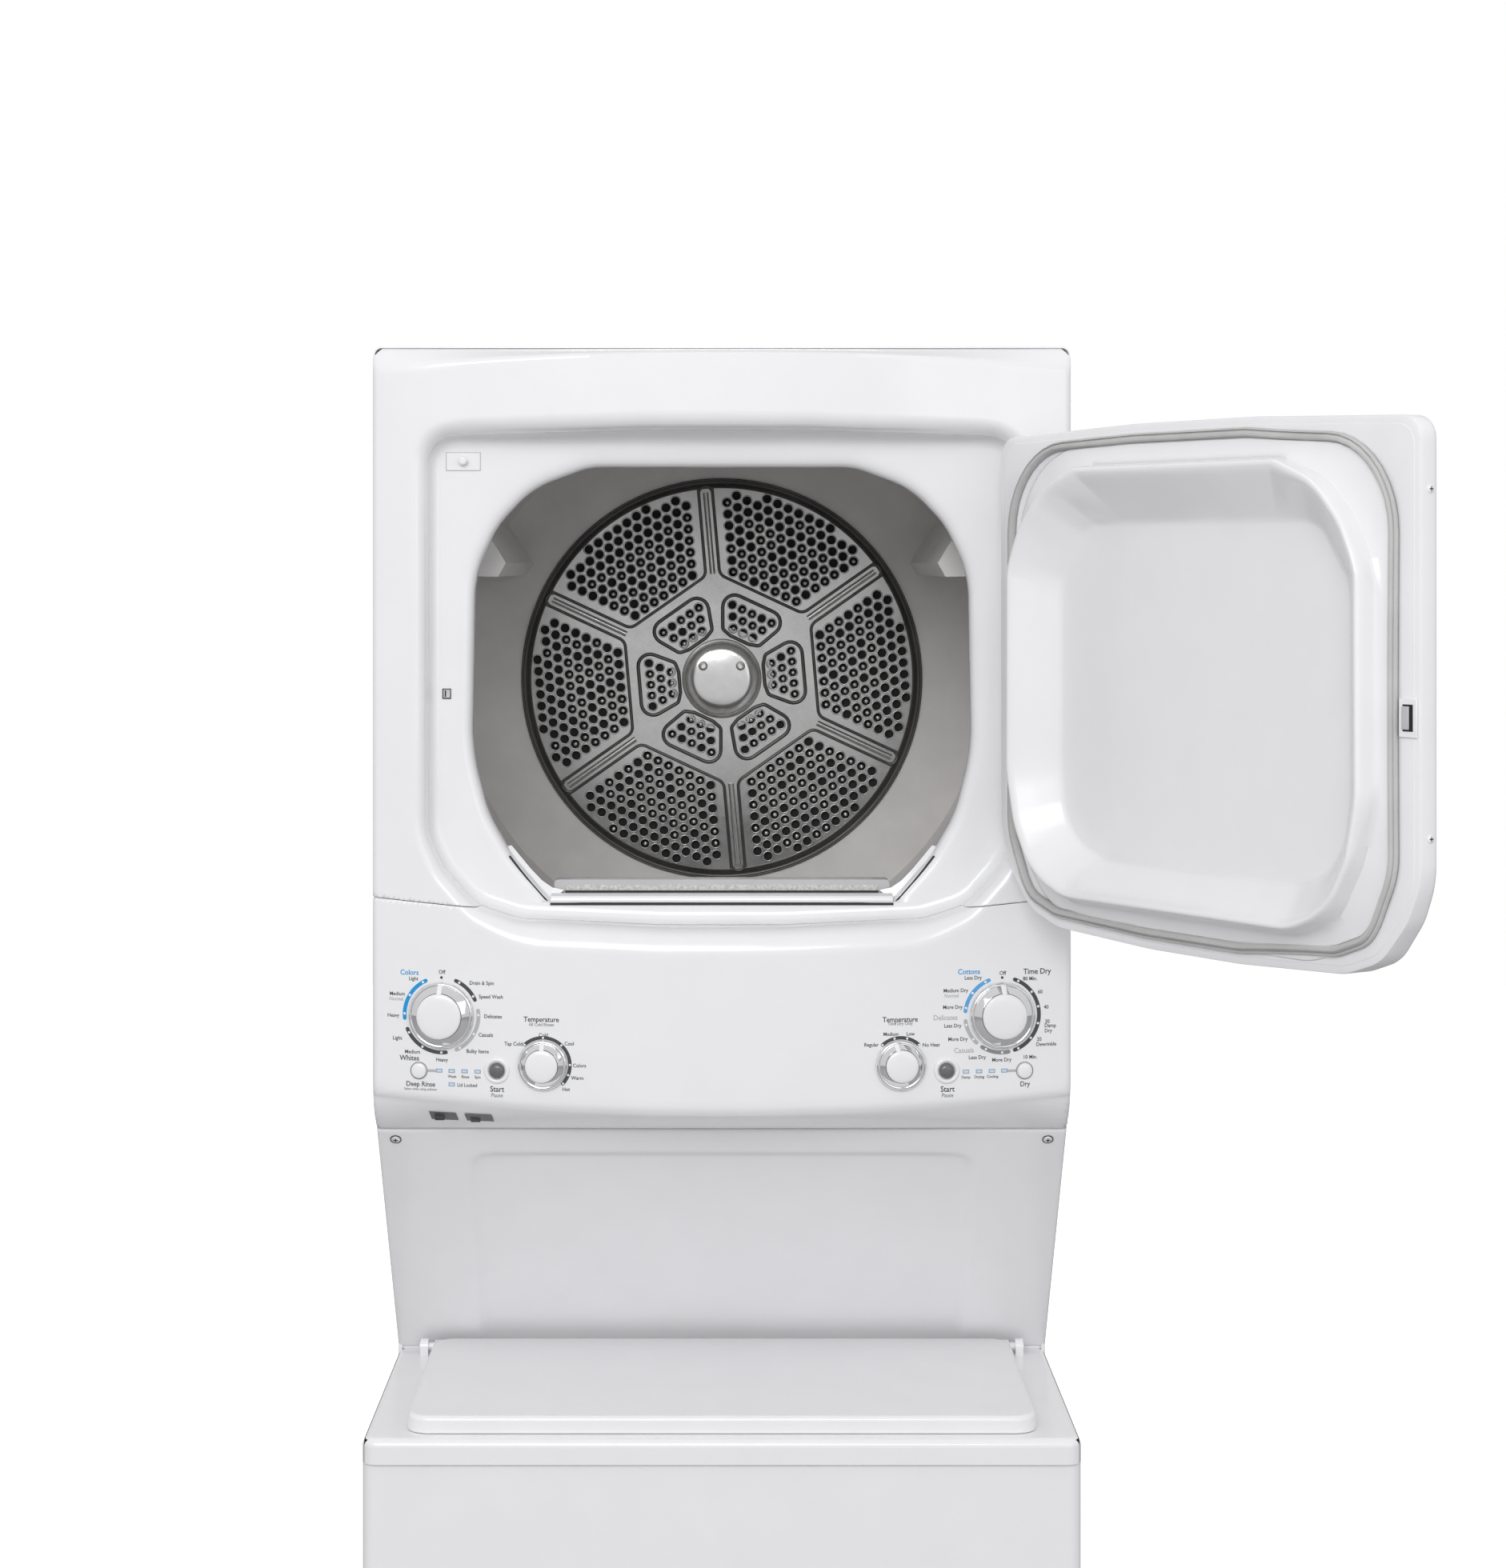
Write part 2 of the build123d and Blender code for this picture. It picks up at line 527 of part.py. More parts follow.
def rear_grille_disc():
    """Steel air grille that closes the drum's back: six panels of holes between ribs."""
    disc = rod_y(0, DRUM_Z, GRILLE_RADIUS, DRUM_REAR, DRUM_REAR + 1.2)
    pitch = 21.0
    holes = []
    for row in range(-11, 12):
        for column in range(-12, 13):
            x = (column + 0.5 * (row % 2)) * pitch
            z = row * pitch * math.sqrt(3) / 2
            radius = math.hypot(x, z)
            turn = math.degrees(math.atan2(z, x)) - 37.0
            side = abs((turn + 30) % 60 - 30)
            clear = radius * math.sin(math.radians(side))
            if 120 < radius < 218 and clear > 14:
                holes.append(Pos(x, z) * Circle(6))
    cut = plate(Sketch(children=holes), DRUM_REAR - 1, DRUM_REAR + 3)
    return disc - Pos(0, 0, DRUM_Z) * cut


def hub_plate():
    """Domed plate over the drum's centre."""
    dome = rod_y(0, DRUM_Z, HUB_RADIUS, DRUM_REAR - 5, DRUM_REAR)
    dome = chamfer(dome.edges().group_by(Axis.Y)[0], 3)
    for x in (-22, 22):
        dome -= rod_y(x, DRUM_Z + 12, 3, DRUM_REAR - 6, DRUM_REAR + 1)
    return dome


def hub_screws():
    """Two screws that hold the hub plate to the shaft."""
    screws = []
    for x in (-22, 22):
        head = rod_y(x, DRUM_Z + 12, 4.8, DRUM_REAR - 7, DRUM_REAR - 5)
        head -= rod_y(x, DRUM_Z + 12, 2, DRUM_REAR - 8, DRUM_REAR - 6)
        screws.append(head + rod_y(x, DRUM_Z + 12, 2.8, DRUM_REAR - 5, DRUM_REAR))
    return Compound(screws)


def drum_shaft():
    """Flanged stub shaft on the back of the drum."""
    flange = rod_y(0, DRUM_Z, 60, DRUM_REAR + 1.2, DRUM_REAR + 4.2)
    return flange + rod_y(0, DRUM_Z, 10, DRUM_REAR + 4.2, BACK - 8)


def rear_bearing():
    """Bearing cup on the back panel."""
    cup = rod_y(0, DRUM_Z, 26, DRUM_REAR + 14, BACK - 3 * SHEET)
    cup -= rod_y(0, DRUM_Z, 10.05, DRUM_REAR + 13, BACK - 3 * SHEET - 1.5)
    return cup + box(-60, 60, BACK - 2 * SHEET - 3, BACK - 2 * SHEET, DRUM_Z - 12, DRUM_Z + 12) \
        - rod_y(0, DRUM_Z, 10.05, DRUM_REAR + 13, BACK - 3 * SHEET - 1.5)


def drum_baffles():
    """Three lifting vanes along the drum."""
    vanes = []
    limit = rod_y(0, 0, DRUM_RADIUS - DRUM_SHEET - 0.05, -400, 400)
    for angle in BAFFLE_ANGLES:
        section = polygon([(DRUM_RADIUS, -34), (DRUM_RADIUS, 34), (274, 17), (258, 8), (258, -8), (274, -17)])
        vane = plate(section, -170, 285) & limit
        vanes.append(Pos(0, 0, DRUM_Z) * Rot(0, -angle, 0) * vane)
    return Compound(vanes)


def heater_housing():
    """Dished heater pan behind the drum, open towards the grille."""
    pan = rod_y(0, DRUM_Z, 232, DRUM_REAR + 8, BACK - 3 * SHEET - 0.5)
    pan -= rod_y(0, DRUM_Z, 230, DRUM_REAR + 7, BACK - 3 * SHEET - 2)
    pan -= rod_y(0, DRUM_Z, 75, DRUM_REAR + 7, BACK)
    for ring in (120, 160, 200):
        pan += tube_y(0, DRUM_Z, ring + 4, ring, DRUM_REAR + 18, BACK - 3 * SHEET - 1)
    return pan


def lint_filter():
    """Lint filter: a slotted head in the door opening and a screen blade below it."""
    head = box(-165, 165, -261, -238, 1389.3, 1404)
    head = fillet(head.edges().filter_by(Axis.Y).group_by(Axis.Z)[-1], 4)
    head -= box(-150, 150, -258, -251, 1388, 1405)
    blade = box(-150, 150, -250, -242, 1180, 1389.3)
    for x in range(-135, 136, 54):
        blade -= box(x - 25, x + 25, -251, -241, 1192, 1376)
    screen = box(-146, 146, -246.6, -245.4, 1186, 1384)
    return head + blade + screen


def lint_duct():
    """Chute that takes the filter blade, and the throat to the blower."""
    chute = box(-158, 158, -257.5, -237, 1172, 1385)
    chute -= box(-155, 155, -255, -239, 1174, 1390)
    near = box(-70, 70, -239, -196, 1176, 1250) - box(-68, 68, -240, -195, 1178, 1248)
    wide = box(-70, 70, -198, BLOWER_FRONT, 1086, 1250) - box(-68, 68, -196, BLOWER_FRONT + 1, 1088, 1248)
    duct = chute + near + wide
    return duct - box(-68, 68, -240, -190, 1178, 1248)


def blower_housing():
    """Volute casing with its side outlet."""
    outer = rod_y(0, MOTOR_Z, BLOWER_RADIUS, BLOWER_FRONT, BLOWER_REAR)
    outer += box(0, DUCT_X + 53, BLOWER_FRONT + 4, BLOWER_REAR, DUCT_Z - 53, DUCT_Z + 53)
    inner = rod_y(0, MOTOR_Z, BLOWER_RADIUS - 2, BLOWER_FRONT + 2, BLOWER_REAR - 2)
    inner += box(2, DUCT_X + 51, BLOWER_FRONT + 6, BLOWER_REAR - 2, DUCT_Z - 51, DUCT_Z + 51)
    casing = outer - inner - rod_y(0, MOTOR_Z, 56, BLOWER_FRONT - 1, BLOWER_FRONT + 5)
    casing -= rod_y(0, MOTOR_Z, 9, BLOWER_REAR - 5, BLOWER_REAR + 1)
    casing -= rod_y(DUCT_X, DUCT_Z, DUCT_RADIUS - 1, BLOWER_REAR - 5, BLOWER_REAR + 1)
    for x in (-40, 40):
        casing += box(x - 3, x + 3, BLOWER_REAR - 2, BLOWER_REAR + 10, SHELF_Z + 3, MOTOR_Z - 70)
    return casing


def blower_wheel():
    """Squirrel-cage wheel on the front of the motor shaft."""
    wheel = rod_y(0, MOTOR_Z, 88, BLOWER_REAR - 14, BLOWER_REAR - 10)
    wheel += rod_y(0, MOTOR_Z, 14, BLOWER_REAR - 40, BLOWER_REAR - 10)
    wheel += tube_y(0, MOTOR_Z, 88, 80, BLOWER_FRONT + 10, BLOWER_FRONT + 13)
    for i in range(24):
        blade = box(79, 88, BLOWER_FRONT + 10, BLOWER_REAR - 12, -1, 1)
        wheel += Pos(0, 0, MOTOR_Z) * Rot(0, i * 15, 0) * blade
    return wheel - rod_y(0, MOTOR_Z, 6, BLOWER_REAR - 41, BLOWER_REAR - 9)


def motor_pulley():
    """Motor shaft with the belt pulley on its rear end."""
    shaft = rod_y(0, MOTOR_Z, 6, BLOWER_REAR - 38, 172)
    pulley = rod_y(0, MOTOR_Z, 12, 150, 170)
    return shaft + pulley + rod_y(0, MOTOR_Z, 16, 148, 150) + rod_y(0, MOTOR_Z, 16, 170, 172)


def dryer_motor():
    """Motor casing on its bracket."""
    body = rod_y(0, MOTOR_Z, 62, -10, 128) - rod_y(0, MOTOR_Z, 6.3, -11, 129)
    for y in (10, 40, 70, 100):
        body -= tube_y(0, MOTOR_Z, 63, 60, y, y + 8)
    bracket = box(-56, -52, 0, 118, SHELF_Z + 3, MOTOR_Z - 20)
    bracket += box(52, 56, 0, 118, SHELF_Z + 3, MOTOR_Z - 20)
    bracket += box(-80, 80, 0, 118, SHELF_Z + 3, SHELF_Z + 7)
    return body + bracket


def drum_belt():
    """Flat belt round the drum and the motor pulley."""
    def loop(big, small):
        wheels = (Pos(0, DRUM_Z) * Circle(big)).edges() + (Pos(0, MOTOR_Z) * Circle(small)).edges()
        return make_hull(wheels)
    belt = loop(DRUM_RADIUS + 2.3, 14.3) - loop(DRUM_RADIUS + 0.3, 12.3)
    return plate(belt, BELT_Y, BELT_Y + BELT_WIDTH)


def exhaust_duct():
    """Exhaust pipe from the blower out of the back."""
    bore = DUCT_RADIUS - 1.8
    pipe = tube_y(DUCT_X, DUCT_Z, DUCT_RADIUS - PIPE_STEP, bore, BLOWER_REAR, PIPE_END)
    pipe += tube_y(DUCT_X, DUCT_Z, DUCT_RADIUS, bore, PIPE_END - DUCT_COLLAR, PIPE_END)
    return pipe + tube_y(DUCT_X, DUCT_Z, DUCT_RADIUS + 6, bore, BLOWER_REAR, BLOWER_REAR + 2)


# ---- dryer front fittings ----
def door_strike():
    """Steel striker for the door catch."""
    back = RETURN + 0.5
    strike = box(-279, -256, back, back + 1.6, CATCH_Z - 24, CATCH_Z + 24)
    loop = box(-270.4, -266.4, RECESS_FLOOR - 9, back, CATCH_Z - 11, CATCH_Z + 11)
    loop -= box(-272, -264, RECESS_FLOOR - 6, back - 0.5, CATCH_Z - 8, CATCH_Z + 8)
    return strike + loop


def door_switch_housing():
    """Door switch body behind a moulded plate in the recess."""
    face = box(-268, -234, RECESS_FLOOR - 0.6, RECESS_FLOOR, 1806, 1826)
    body = box(-264, -246, RECESS_FLOOR, -245, 1810, 1822)
    return face + body - rod_y(SWITCH_X, SWITCH_Z, SWITCH_RADIUS + 0.5, RECESS_FLOOR - 5, -254)


def door_switch_plunger():
    """Plunger that the door presses."""
    pin = rod_y(SWITCH_X, SWITCH_Z, SWITCH_RADIUS, RECESS_FLOOR - 8.5, -262)
    return fillet(pin.edges().group_by(Axis.Y)[0], 2)


# ---- door, modelled shut ----
def bow_slab(inset, back):
    """Everything behind the bowed front, `inset` in from it, as far as `back`."""
    return bowed(HALF, inset, back, 1340, 1870)


def outer_door_panel():
    """Bowed steel outer door with folded side walls and an inner flange."""
    outline = door_face(DOOR_GAP, DOOR_GAP_TOP, DOOR_GAP_TOP, 20)
    inner = door_face(DOOR_GAP + SHEET, DOOR_GAP_TOP + SHEET, DOOR_GAP_TOP + SHEET, 18.5)
    shell = plate(outline, CROWN - 10, DOOR_FLANGE) & bow_slab(0, DOOR_FLANGE)
    shell -= plate(inner, CROWN - 10, DOOR_FLANGE - SHEET) & bow_slab(SHEET, DOOR_FLANGE - SHEET)
    shell -= plate(door_face(42, 27, 26, 62), DOOR_FLANGE - SHEET - 1, DOOR_FLANGE + 1)
    shell -= box(-274, -263, DOOR_FLANGE - SHEET - 1, DOOR_FLANGE + 1, CATCH_Z - 13, CATCH_Z + 13)
    for z in (1776, 1492):
        shell -= Pos(-RECESS_HALF + DOOR_GAP, -300, z) * Rot(0, 90, 0) * Cylinder(2.2, 8)
    return shell


def inner_door_liner():
    """Moulded liner: a raised ridge round a shallow bowl."""
    rim = DOOR_FLANGE + 2
    top = DOOR_FLANGE + 25
    flat = plate(door_face(37.5, 23.5, 22.5, 66), DOOR_FLANGE, rim)
    ridge = frustum(liner_face(4, 4, 4), rim, liner_face(22, 20, 16), top)
    bowl = frustum(liner_face(70, 62, 56), rim + 2, liner_face(36, 24, 22), top + 0.01)
    under = frustum(liner_face(7, 7, 7), DOOR_FLANGE - 0.5, liner_face(24, 22, 18), top - 2.5)
    core = frustum(liner_face(68, 60, 54), DOOR_FLANGE - 1, liner_face(34, 23, 21), top - 2.4)
    return flat + ridge - bowl - (under - core)


def door_gasket():
    """Soft seal round the door's inner flange."""
    ring = plate(door_face(23, 12.5, 11, 78), DOOR_FLANGE, DOOR_FLANGE + 8)
    return ring - plate(door_face(36.5, 22.5, 21.5, 62), DOOR_FLANGE - 1, DOOR_FLANGE + 9)


def door_catch():
    """Catch plate with its spring mouth at the free edge."""
    plate_body = box(-277, -272, DOOR_FLANGE, DOOR_FLANGE + 1.6, CATCH_Z - 20, CATCH_Z + 20)
    mouth = box(-273.5, -263.3, DOOR_FLANGE - 12, DOOR_FLANGE + 1.6, CATCH_Z - 12.7, CATCH_Z + 12.7)
    mouth -= box(-272.6, -264.2, DOOR_FLANGE - 10, DOOR_FLANGE + 3, CATCH_Z - 11.9, CATCH_Z + 11.9)
    return plate_body + mouth


def door_screws():
    """Two screws in the door's free edge."""
    edge = -RECESS_HALF + DOOR_GAP
    screws = []
    for z in (1776, 1492):
        head = Pos(edge - 0.9, -300, z) * Rot(0, 90, 0) * Cylinder(4.5, 1.8)
        shank = Pos(edge + 5, -300, z) * Rot(0, 90, 0) * Cylinder(1.9, 10)
        screws.append(head + shank)
    return Compound(screws)


def door_hinges():
    """Two knuckles on the door with the pins that join them to the front panel."""
    hinges = []
    for z in HINGE_HEIGHTS:
        side = RECESS_HALF - DOOR_GAP
        z0, z1 = z - 15.5, z + 15.5
        knuckle = rod_z(HINGE_X, HINGE_Y, 2.6, z0, z1)
        web = box(side, HINGE_X, HINGE_Y - 1.2, HINGE_Y + 1.2, z0, z1)
        leaf = box(side, side + 1, HINGE_Y - 1.2, -293, z0, z1)
        hinges.append(knuckle + web + leaf + rod_z(HINGE_X, HINGE_Y, 1.5, z - 31, z + 31))
    return Compound(hinges)


# ---- controls ----
def knob(x, z, ring, cap, turned):
    """Round knob: a plated ring, a raised cap with a pointer, and its shaft."""
    pointer = Rot(0, 0, turned) * Pos(0, cap * 0.62, 15) * Box(1.8, cap * 0.5, 1.2)
    body = disc_on(on_front(x, z), ring, 1.2, 7) + disc_on(on_front(x, z), cap, 7, 15)
    body += disc_on(on_front(x, z), SHAFT_RADIUS, -SHAFT_LENGTH, 1.2)
    return body - on_front(x, z) * pointer


def button(x, z, radius, proud):
    """Round push button with a stem and a collar behind the console."""
    plane = on_front(x, z)
    return disc_on(plane, radius, -6, proud) + disc_on(plane, 2.5, -14, -6)


def slide_switch(x, z):
    """Slider in the console's underside."""
    plane = chin_plane(x, z)
    return block_on(plane, 9, 7, -4, 3) + block_on(plane, 3, 3, -9, -4)


def indicator_lenses():
    """Small windows of the indicator lamps."""
    return Compound([block_on(place, 5.5, 3, -2.5, 0.5) for place in lens_places()])


def control_module():
    """Board behind the console with both timers, the selector switches and the lamps."""
    back = SLOPE_TOP[0] - 1.5
    board = box(-HALF + 12, HALF - 12, back, back + SHEET, 1200, 1310)
    for sign in (-1, 1):
        x0, x1 = sorted((sign * (HALF - 15), sign * (HALF - 3)))
        board += box(x0, x1, RETURN + 2 + SHEET, back + SHEET, 1216, 1244)
        big = on_front(sign * TIMER_KNOB[0], TIMER_KNOB[1])
        small = on_front(sign * SMALL_KNOB[0], SMALL_KNOB[1])
        board += block_on(big, 58, 58, -48, -SHAFT_LENGTH + 6)
        board -= disc_on(big, SHAFT_RADIUS + 0.05, -SHAFT_LENGTH - 1, -SHAFT_LENGTH + 8)
        board += block_on(small, 36, 30, -62, -SHAFT_LENGTH + 6)
        board -= disc_on(small, SHAFT_RADIUS + 0.05, -SHAFT_LENGTH - 1, -SHAFT_LENGTH + 8)
        for x, z in (START_BUTTON, ROUND_BUTTON):
            board += block_on(on_front(sign * x, z), 16, 16, -58, -18)
            board -= disc_on(on_front(sign * x, z), 2.9, -30, -17)
    return board


# ---- washer ----
def washer_lid():
    """Pressed lid with turned-down edges, pivoting on two stub pins at its rear."""
    z0 = DECK_TOP + 0.6
    outer = box(-LID_HALF, LID_HALF, LID_FRONT, LID_REAR + 2, z0, z0 + LID_THICK)
    outer = fillet(outer.edges().filter_by(Axis.Z), 22)
    outer = fillet(outer.faces().sort_by(Axis.Z)[-1].edges(), 5)
    inner = box(-LID_HALF + 2, LID_HALF - 2, LID_FRONT + 2, LID_REAR, z0 - 2, z0 + LID_THICK - 2)
    inner = fillet(inner.edges().filter_by(Axis.Z), 20)
    lid = outer - inner
    for sign in (-1, 1):
        x0, x1 = sorted((sign * (LID_HALF - 6), sign * (HALF - 25)))
        pin = Pos((x0 + x1) / 2, LID_REAR, LID_HINGE_Z) * Rot(0, 90, 0) * Cylinder(4, x1 - x0)
        x0, x1 = sorted((sign * (LID_HALF - 10), sign * (LID_HALF - 1)))
        lid += box(x0, x1, LID_REAR - 7, LID_REAR + 1, z0 + 1, z0 + LID_THICK - 2) + pin
    return lid


def outer_tub():
    """Outer tub that holds the water, with brackets for the suspension rods."""
    tub = rod_z(0, TUB_Y, TUB_RADIUS, TUB_FLOOR, TUB_TOP)
    tub -= rod_z(0, TUB_Y, TUB_RADIUS - 4, TUB_FLOOR + 5, TUB_TOP - 5)
    tub -= rod_z(0, TUB_Y, 222, TUB_TOP - 10, TUB_TOP + 1)
    tub -= rod_z(0, TUB_Y, 16, TUB_FLOOR - 1, TUB_FLOOR + 6)
    for x, y in rod_places():
        turn = math.degrees(math.atan2(y - TUB_Y, x))
        reach = math.hypot(x, y - TUB_Y)
        arm = box(TUB_RADIUS - 20, reach + 16, -20, 20, 400, 430) - rod_z(0, 0, TUB_RADIUS - 2, 399, 431)
        tub += Pos(0, TUB_Y, 0) * Rot(0, 0, turn) * arm
        tub -= rod_z(x, y, 8, 399, 431)
    return tub


def rod_places():
    """Corners where the suspension rods hang."""
    return [(sx * 300, TUB_Y + sy * 232) for sx in (-1, 1) for sy in (-1, 1)]


def suspension_rods():
    """Four rods with their spring cups."""
    rods = []
    for x, y in rod_places():
        rod = rod_z(x, y, 6, 372, 838) + rod_z(x, y, 18, 372, 376) + rod_z(x, y, 12, 376, 399.6)
        x0, x1 = sorted((x - math.copysign(18, x), math.copysign(HALF - SHEET, x)))
        rods.append(rod + rod_z(x, y, 16, 838, 846) + box(x0, x1, y - 18, y + 18, 846, 849))
    return Compound(rods)


def wash_basket():
    """Steel basket with a balance ring and its drive hub."""
    wall = tube_z(0, TUB_Y, BASKET_RADIUS, BASKET_RADIUS - 1.5, BASKET_FLOOR, BASKET_TOP)
    floor = tube_z(0, TUB_Y, BASKET_RADIUS, 24, BASKET_FLOOR, BASKET_FLOOR + 3)
    ring = tube_z(0, TUB_Y, BASKET_RADIUS, BASKET_MOUTH, BASKET_TOP - 34, BASKET_TOP)
    hub = tube_z(0, TUB_Y, 24, 11.3, BASKET_FLOOR - 10, BASKET_FLOOR + 3)
    sleeve = tube_z(0, TUB_Y, 15.5, 11.3, 215, BASKET_FLOOR - 8)
    basket = wall + floor + ring + hub + sleeve
    for i in range(4):
        slot = box(BASKET_RADIUS - 6, BASKET_RADIUS + 2, -3, 3, 330, 700)
        basket -= Pos(0, TUB_Y, 0) * Rot(0, 0, 45 + i * 90) * slot
    return basket


def agitator():
    """Agitator: a skirt, a tapering post and four fins, on the inner drive shaft."""
    z0 = BASKET_FLOOR + 5
    body = Pos(0, TUB_Y, z0 + 20) * Cone(195, 70, 40)
    body += Pos(0, TUB_Y, z0 + 200) * Cone(70, 44, 340)
    body += Pos(0, TUB_Y, z0 + 378) * Cone(44, 30, 16)
    for i in range(4):
        fin = polygon([(40, z0 + 12), (172, z0 + 12), (120, z0 + 60), (78, z0 + 130),
                       (62, z0 + 300), (40, z0 + 300)])
        body += Pos(0, TUB_Y, 0) * Rot(0, 0, i * 90) * plate(fin, -4, 4)
    body -= Pos(0, TUB_Y, z0 + 16) * Cone(191, 66, 40)
    body -= Pos(0, TUB_Y, z0 + 196) * Cone(66, 40, 340)
    return body + rod_z(0, TUB_Y, 11, 170, z0 + 372)


def washer_drive_motor():
    """Drive unit bolted under the outer tub."""
    body = tube_z(0, TUB_Y, 130, 17, 212, TUB_FLOOR) - tube_z(0, TUB_Y, 112, 30, 218, TUB_FLOOR + 1)
    case = tube_z(0, TUB_Y, 95, 11.6, 160, 212)
    for i in range(12):
        fin = box(80, 100, -2, 2, 166, 206)
        case += Pos(0, TUB_Y, 0) * Rot(0, 0, i * 30) * fin
    return body + case - rod_z(0, TUB_Y, 17, 213, TUB_FLOOR + 1)


def drain_pump():
    """Drain pump with its sump inlet and the outlet out of the back."""
    body = rod_z(DRAIN_X, DRAIN_Y, 46, FRAME_TOP, 140) + rod_z(DRAIN_X, DRAIN_Y, 34, 140, 200)
    pipe = rod_y(DRAIN_X, DRAIN_Z, DRAIN_RADIUS - PIPE_STEP, DRAIN_Y + 20, SPIGOT_END)
    pipe += rod_y(DRAIN_X, DRAIN_Z, DRAIN_RADIUS, SPIGOT_END - SPIGOT, SPIGOT_END)
    bore = rod_y(DRAIN_X, DRAIN_Z, DRAIN_RADIUS - 2.5, DRAIN_Y + 30, PIPE_END)
    foot = box(DRAIN_X - 60, DRAIN_X + 158, DRAIN_Y - 20, DRAIN_Y + 20, FRAME_TOP, FRAME_TOP + 4)
    return body + pipe + foot - bore


def water_inlet_valve():
    """Hot and cold inlet valve with two threaded spigots."""
    body = box(VALVE_X[0] - 22, VALVE_X[1] + 22, 300, BACK - 2 * SHEET, VALVE_Z - 22, VALVE_Z + 22)
    for x in VALVE_X:
        body += rod_y(x, VALVE_Z, INLET_RADIUS - PIPE_STEP, 340, SPIGOT_END)
        body += rod_y(x, VALVE_Z, INLET_RADIUS, SPIGOT_END - SPIGOT, SPIGOT_END)
        body -= rod_y(x, VALVE_Z, INLET_RADIUS - 3, 350, PIPE_END)
        body += rod_z(x, 320, 14, VALVE_Z + 22, VALVE_Z + 45)
    return body


def open_door(shape):
    """Swing a door piece from shut to its rest angle."""
    swing = Pos(HINGE_X, HINGE_Y, 0) * Rot(0, 0, DOOR_REST_ANGLE) * Pos(-HINGE_X, -HINGE_Y, 0)
    return swing * shape


def sub_parts():
    """Every node's name with its shape."""
    yield "base_frame", base_frame()
    yield "leveling_feet", leveling_feet()
    yield "side_panel_left", side_panel(-1)
    yield "side_panel_right", side_panel(1)
    yield "washer_front_panel", washer_front_panel()
    yield "washer_top_deck", washer_top_deck()
    yield "rear_panel", rear_panel()
    yield "top_cover", top_cover()
    yield "dryer_front_panel", dryer_front_panel()
    yield "control_console", control_console()
    yield "slope_access_panel", slope_access_panel()
    yield "panel_screws", panel_screws()
    yield "dryer_floor_shelf", dryer_floor_shelf()
    yield "drum_front_bulkhead", drum_front_bulkhead()
    yield "drum_front_felt", drum_front_felt()
    yield "drum_shell", drum_shell()
    yield "rear_grille_disc", rear_grille_disc()
    yield "hub_plate", hub_plate()
    yield "hub_screws", hub_screws()
    yield "drum_shaft", drum_shaft()
    yield "rear_bearing", rear_bearing()
    yield "drum_baffles", drum_baffles()
    yield "heater_housing", heater_housing()
    yield "lint_filter", lint_filter()
    yield "lint_duct", lint_duct()
    yield "blower_housing", blower_housing()
    yield "blower_wheel", blower_wheel()
    yield "motor_pulley", motor_pulley()
    yield "dryer_motor", dryer_motor()
    yield "drum_belt", drum_belt()
    yield "exhaust_duct", exhaust_duct()
    yield "door_strike", door_strike()
    yield "door_switch_housing", door_switch_housing()
    yield "door_switch_plunger", door_switch_plunger()
    yield "outer_door_panel", open_door(outer_door_panel())
    yield "inner_door_liner", open_door(inner_door_liner())
    yield "door_gasket", open_door(door_gasket())
    yield "door_catch", open_door(door_catch())
    yield "door_screws", open_door(door_screws())
    yield "door_hinges", open_door(door_hinges())
    yield "washer_timer_knob", knob(-TIMER_KNOB[0], TIMER_KNOB[1], *TIMER_RADII, 0)
    yield "dryer_timer_knob", knob(TIMER_KNOB[0], TIMER_KNOB[1], *TIMER_RADII, 0)
    yield "washer_temperature_knob", knob(-SMALL_KNOB[0], SMALL_KNOB[1], *SMALL_RADII, 0)
    yield "dryer_heat_knob", knob(SMALL_KNOB[0], SMALL_KNOB[1], *SMALL_RADII, HEAT_POINTER)
    yield "washer_start_button", button(-START_BUTTON[0], START_BUTTON[1], START_RADIUS, 4.5)
    yield "dryer_start_button", button(START_BUTTON[0], START_BUTTON[1], START_RADIUS, 4.5)
    yield "washer_option_button", button(-ROUND_BUTTON[0], ROUND_BUTTON[1], ROUND_RADIUS, 3)
    yield "dryer_option_button", button(ROUND_BUTTON[0], ROUND_BUTTON[1], ROUND_RADIUS, 3)
    yield "outer_slide_switch", slide_switch(*SWITCHES[0])
    yield "inner_slide_switch", slide_switch(*SWITCHES[1])
    yield "indicator_lenses", indicator_lenses()
    yield "control_module", control_module()
    yield "washer_lid", washer_lid()
    yield "outer_tub", outer_tub()
    yield "suspension_rods", suspension_rods()
    yield "wash_basket", wash_basket()
    yield "agitator", agitator()
    yield "washer_drive_motor", washer_drive_motor()
    yield "drain_pump", drain_pump()
    yield "water_inlet_valve", water_inlet_valve()


os.makedirs("parts", exist_ok=True)
for name, shape in sub_parts():
    export_step(shape, f"parts/{name}.step")
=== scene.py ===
import json
import random
from math import acos, asin, atan, atan2, cos, degrees, dist, hypot, pi, radians, sin, sqrt, tan

import bmesh
import bpy
import numpy as np
from mathutils import Matrix, Vector


